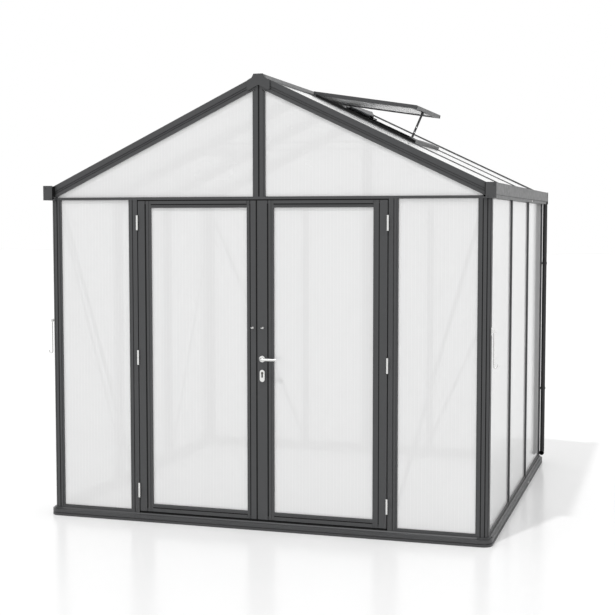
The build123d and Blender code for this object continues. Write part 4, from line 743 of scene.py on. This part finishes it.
class GREENHOUSE_OT_groove_shade_strips(bpy.types.Operator):
    """Build black strips in the grooves of leaves and mullions, which paint the shade in those grooves,
    and the slots under the lock plug
    """

    bl_idname = "greenhouse.gaskets"
    bl_label = "Gaskets"

    def execute(self, context):
        sizes = settings("fittings")
        front = -settings("sheets").half_depth
        half = sizes.groove / 2
        deep = (front + INSET, front + sizes.groove - SLACK)
        wide = half + sizes.gasket_lip
        lip = (front - HAIR - sizes.gasket_proud, front - HAIR)
        low = sizes.leaf_low + sizes.low_groove
        high = sizes.leaf_high - sizes.top_groove
        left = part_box("door_left_frame")[0].x + sizes.hinge_groove
        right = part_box("door_right_frame")[1].x - sizes.hinge_groove
        leaves = {
            "left": (left, sizes.meet_left - sizes.left_groove),
            "right": (sizes.meet_right + sizes.right_groove, right),
        }
        # Painted shade: black strips fill the grooves of each leaf, and a lip on the face beside one of
        # them widens the dark line
        for side, uprights in leaves.items():
            made = []
            for x in uprights:
                made.append(strip((x - half, deep[0], low - half), (x + half, deep[1], high + half)))
            x = uprights[0]
            made.append(strip((x - wide, lip[0], low - half), (x + wide, lip[1], high + half)))
            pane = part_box("door_" + side + "_pane")
            ends = (pane[0].x + sizes.rail_gasket, pane[1].x - sizes.rail_gasket)
            for z in (low, high):
                made.append(strip((ends[0], deep[0], z - half), (ends[1], deep[1], z + half)))
            # Painted shade: a black strip on the face over the gap between the leaves
            if side == "right":
                meet = (sizes.meet_left - sizes.gasket_lip, sizes.meet_right + sizes.gasket_lip)
                made.append(strip((meet[0], lip[0], sizes.leaf_low), (meet[1], lip[1], sizes.leaf_high)))
            piece("gasket_" + side, made, "black_rubber", "door_" + side)
        # Painted shade: black strips in the grooves of the mullions, with lips on both faces
        low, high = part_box("gable_mullions")
        made = []
        for turn in (1, -1):
            for reach, walls in ((half, deep), (wide, lip)):
                y = sorted((turn * walls[0], turn * walls[1]))
                made.append(strip((-reach, y[0], low.z), (reach, y[1], high.z - THIN_END)))
        piece("gasket_mullions", made, "black_rubber", "house")
        made = []
        for face in (front - sizes.plate, front + sizes.leaf_deep + sizes.plate):
            one = (sizes.lever_x - sizes.slot_half, face - INSET, sizes.slot_low)
            made.append(strip(one, (sizes.lever_x + sizes.slot_half, face + INSET, sizes.slot_high)))
        piece("cylinder_slots", made, "black_plastic", "door_right")
        return {"FINISHED"}


class GREENHOUSE_OT_gap_shade_strips(bpy.types.Operator):
    """Build black strips in the door frame's gaps beside the hinges and under and over the leaves, which
    paint the shade in those gaps
    """

    bl_idname = "greenhouse.frame_seals"
    bl_label = "Frame seals"

    def execute(self, context):
        sizes = settings("fittings")
        front = -settings("sheets").half_depth
        deep = (front + sizes.frame_from, front + sizes.frame_to)
        rail = front + sizes.rail_from
        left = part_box("door_left_frame")[0].x
        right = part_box("door_right_frame")[1].x
        hinges = [sizes.hinge_mid + turn * sizes.hinge_step for turn in (-1, 0, 1)]
        ends = [sizes.leaf_low]
        for z in hinges:
            ends += [z - sizes.hinge_half, z + sizes.hinge_half]
        ends.append(sizes.leaf_high)
        made = []
        # Painted shade in the gaps beside the hinges
        for low, high in zip(ends[::2], ends[1::2]):
            made.append(strip((right + SKIN_GAP, deep[0], low), (right + sizes.frame_seal, deep[1], high)))
            made.append(strip((left - sizes.frame_seal, deep[0], low), (left - SKIN_GAP, deep[1], high)))
        # Painted shade in the gap under the leaves
        low = sizes.post_low + SLACK
        high = sizes.leaf_low - sizes.brush - LEAF_GAP
        made.append(strip((left, rail, low), (right, front + sizes.low_to, high)))
        # Painted shade in the gap over the leaves
        low = sizes.leaf_high + LEAF_GAP
        high = sizes.beam_low - EDGE_GAP
        made.append(strip((left, rail, low), (right, front + sizes.head_to, high)))
        piece("frame_seals", made, "black_rubber", "house")
        return {"FINISHED"}


class GREENHOUSE_OT_post_groove_shade_strips(bpy.types.Operator):
    """Build black strips in the four grooves of each corner post, which paint the shade in those grooves
    """

    bl_idname = "greenhouse.post_gaskets"
    bl_label = "Post gaskets"

    def execute(self, context):
        sizes = settings("fittings")
        walls = settings("sheets")
        radius = sizes.post_round
        half = sizes.groove / 2 - HAIR
        out = radius - SKIN_GAP
        back = radius - sizes.groove + SLACK
        # A painted shade strip's section is a rectangle across its groove, from below the surface to above
        # the floor.
        # The outer grooves lie beside the rounding, and the inner two are turned about its axis.
        across = np.array([-half, half, half, -half])
        reach = np.array([out, out, back, back])
        shapes = [(across - sizes.post_groove, -reach), (reach, across + sizes.post_groove)]
        for turn in (sizes.post_first, sizes.post_second):
            x = reach * math.cos(turn) - across * math.sin(turn)
            shapes.append((x, reach * math.sin(turn) + across * math.cos(turn)))
        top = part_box("corner_posts")[1].z
        # Painted shade: a black strip in each groove of each post
        made = []
        for side in (1, -1):
            for end in (1, -1):
                for x, y in shapes:
                    place_x = side * (walls.half_width - radius + x)
                    place_y = end * (y - walls.half_depth + radius)
                    ends = (sizes.post_low, top)
                    rings = [np.stack([place_x, place_y, 0 * x + z], axis=-1) for z in ends]
                    made.append(surface(np.stack(rings)))
        piece("gasket_posts", made, "black_rubber", "house")
        return {"FINISHED"}


class GREENHOUSE_OT_eave_seals(bpy.types.Operator):
    """Build the black seals at the gutters' ends and over the free corners of the roof sheets"""

    bl_idname = "greenhouse.eave_seals"
    bl_label = "Eave seals"

    def execute(self, context):
        sizes = settings("fittings")
        walls = settings("sheets")
        run = math.cos(walls.pitch_angle)
        fall = math.sin(walls.pitch_angle)
        cap = sizes.trough - sizes.seal_side
        # A cover's section is a rectangle along the slope and square to it, turned by the roof's pitch.
        start = (sizes.trough + EDGE_GAP) / run
        stop = walls.roof_to + sizes.cover_past
        over = walls.thick + sizes.cover_over
        slope = np.array([start, stop, stop, start])
        lift = np.array([SKIN_GAP, SKIN_GAP, over, over])
        x = slope * run + lift * fall
        z = walls.apex - slope * fall + lift * run
        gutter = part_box("gutters")
        made = []
        for side in (1, -1):
            for end, tip in ((1, gutter[1].y), (-1, gutter[0].y)):
                face = end * walls.half_depth
                inside = face - end * sizes.cover_thick
                rings = [np.stack([side * x, 0 * x + y, z], axis=-1) for y in (face, inside)]
                made.append(surface(np.stack(rings)))
                wide = sorted((side * (cap - sizes.seal_reach), side * cap))
                deep = sorted((face + end * SLACK, tip - end * SLACK))
                made.append(strip((wide[0], deep[0], sizes.seal_low), (wide[1], deep[1], sizes.seal_high)))
        piece("eave_seals", made, "black_rubber", "house")
        return {"FINISHED"}


class GREENHOUSE_OT_screws(bpy.types.Operator):
    """Build the screw heads on the gutter caps and the bright screws at the side bars"""

    bl_idname = "greenhouse.screws"
    bl_label = "Screws"

    def execute(self, context):
        sizes = settings("fittings")
        low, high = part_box("gutter_end_caps")
        edge = sizes.cap_edge
        places = ((high.x - sizes.cap_inner, low.z + edge), (high.x - edge, high.z - edge))
        made = []
        for side in (-1, 1):
            for y, out in ((low.y, -1), (high.y, 1)):
                for x, z in places:
                    made.append(screw((side * x, y, z), (0, out, 0), sizes.screw))
        piece("cap_screws", made, "frame_aluminium", "house")
        made = []
        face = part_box("sill_sides")[1].x
        bar = settings("sheets").side_bar
        for side in (-1, 1):
            for z in (sizes.clip_low, low.z + sizes.clip_high):
                made.append(screw((side * face, bar, z), (side, 0, 0), sizes.clip))
        piece("bar_screws", made, "bright_steel", "house")
        return {"FINISHED"}


class GREENHOUSE_OT_stage(bpy.types.Operator):
    """Set up the floor, the soft light, the white surroundings and the camera"""

    bl_idname = "greenhouse.stage"
    bl_label = "Stage"

    def execute(self, context):
        sizes = settings("stage")
        scene = context.scene
        half = sizes.floor_size
        corners = [(-half, -half, 0), (half, -half, 0), (half, half, 0), (-half, half, 0)]
        mesh = bpy.data.meshes.new("floor")
        mesh.from_pydata(corners, [], [(0, 1, 2, 3)])
        floor = bpy.data.objects.new("floor", mesh)
        scene.collection.objects.link(floor)
        mesh.materials.append(self.floor_finish(sizes))
        scene.world = bpy.data.worlds.new("studio")
        self.surroundings(scene.world, sizes)
        lamp = bpy.data.lights.new("key", "SUN")
        lamp.energy = sizes.sun
        lamp.angle = sizes.sun_soft
        key = bpy.data.objects.new("key", lamp)
        flat = math.cos(sizes.sun_height)
        right = flat * math.sin(sizes.sun_turn)
        back = flat * math.cos(sizes.sun_turn)
        travel = Vector((right, back, -math.sin(sizes.sun_height)))
        key.rotation_euler = travel.to_track_quat("-Z", "Y").to_euler()
        key.location = (0, 0, sizes.sun_place)
        scene.collection.objects.link(key)
        view = bpy.data.cameras.new("camera")
        view.lens = sizes.lens
        view.sensor_width = sizes.sensor
        view.clip_end = sizes.far
        camera = bpy.data.objects.new("camera", view)
        camera.location = (sizes.camera_x, sizes.camera_y, sizes.camera_z)
        camera.rotation_euler = (math.pi / 2 - sizes.tilt, 0, sizes.yaw)
        scene.collection.objects.link(camera)
        scene.camera = camera
        scene.view_settings.view_transform = "Standard"
        return {"FINISHED"}

    def floor_finish(self, sizes):
        """Pale floor: a lit, faintly glossy colour, and for the camera a part of plain white on top."""
        made, tree, out = blank("floor")
        place = node(tree, "ShaderNodeTexCoord").outputs["Object"]
        cloud = noise(tree, place, scale=1.2, detail=4.0)
        inputs = {
            "Base Color": tinted(tree, sizes.floor_colour, cloud, low=0.995, high=1.005),
            "Roughness": spread(tree, cloud, low=0.18, high=0.22),
            "Specular IOR Level": sizes.floor_gloss,
        }
        lit = node(tree, "ShaderNodeBsdfPrincipled", inputs)
        path = node(tree, "ShaderNodeLightPath")
        strength = math_node(tree, "MULTIPLY", path.outputs["Is Camera Ray"], sizes.floor_glow)
        glow = node(tree, "ShaderNodeEmission", {"Color": (1, 1, 1, 1), "Strength": strength})
        both = node(tree, "ShaderNodeAddShader", {0: lit.outputs[0], 1: glow.outputs[0]})
        tree.links.new(both.outputs[0], out.inputs[0])
        return made

    def surroundings(self, world, sizes):
        """White for the camera and for mirror-like rays, and a softer level as light."""
        world.use_nodes = True
        tree = world.node_tree
        tree.nodes.clear()
        path = node(tree, "ShaderNodeLightPath")
        seen = math_node(tree, "MAXIMUM", path.outputs["Is Camera Ray"], path.outputs["Is Glossy Ray"])
        seen = math_node(tree, "MAXIMUM", seen, path.outputs["Is Transmission Ray"])
        level = spread(tree, seen, sizes.dome, 1.0, 0.0, 1.0)
        sky = node(tree, "ShaderNodeBackground", {"Color": (1, 1, 1, 1), "Strength": level})
        out = tree.nodes.new("ShaderNodeOutputWorld")
        tree.links.new(sky.outputs[0], out.inputs[0])


class GREENHOUSE_PT_panel(bpy.types.Panel):
    """Lists the steps that build the looks of the greenhouse"""

    bl_idname = "GREENHOUSE_PT_panel"
    bl_label = "Greenhouse"
    bl_space_type = "VIEW_3D"
    bl_region_type = "UI"
    bl_category = "Greenhouse"

    def draw(self, context):
        for step in STEPS:
            self.layout.operator(step.bl_idname)


STEPS = (
    GREENHOUSE_OT_finish_cad,
    GREENHOUSE_OT_wall_panes,
    GREENHOUSE_OT_gable_panes,
    GREENHOUSE_OT_roof_panes,
    GREENHOUSE_OT_door_panes,
    GREENHOUSE_OT_vent_pane,
    GREENHOUSE_OT_levers,
    GREENHOUSE_OT_seals,
    GREENHOUSE_OT_groove_shade_strips,
    GREENHOUSE_OT_gap_shade_strips,
    GREENHOUSE_OT_post_groove_shade_strips,
    GREENHOUSE_OT_eave_seals,
    GREENHOUSE_OT_screws,
    GREENHOUSE_OT_stage,
)
GROUPS = {
    "sheets": GreenhouseSheets,
    "fittings": GreenhouseFittings,
    "finishes": GreenhouseFinishes,
    "stage": GreenhouseStage,
}


def register():
    for name, group in GROUPS.items():
        bpy.utils.register_class(group)
        setattr(bpy.types.Scene, "greenhouse_" + name, bpy.props.PointerProperty(type=group))
    for step in STEPS:
        bpy.utils.register_class(step)
    bpy.utils.register_class(GREENHOUSE_PT_panel)


def unregister():
    bpy.utils.unregister_class(GREENHOUSE_PT_panel)
    for step in reversed(STEPS):
        bpy.utils.unregister_class(step)
    for name, group in GROUPS.items():
        delattr(bpy.types.Scene, "greenhouse_" + name)
        bpy.utils.unregister_class(group)


def main():
    register()
    bpy.ops.greenhouse.finish_cad()
    bpy.ops.greenhouse.wall_panes()
    bpy.ops.greenhouse.gable_panes()
    bpy.ops.greenhouse.roof_panes()
    bpy.ops.greenhouse.door_panes()
    bpy.ops.greenhouse.vent_pane()
    bpy.ops.greenhouse.levers()
    bpy.ops.greenhouse.seals()
    bpy.ops.greenhouse.gaskets()
    bpy.ops.greenhouse.frame_seals()
    bpy.ops.greenhouse.post_gaskets()
    bpy.ops.greenhouse.eave_seals()
    bpy.ops.greenhouse.screws()
    bpy.ops.greenhouse.stage()


if __name__ == "__main__":
    main()
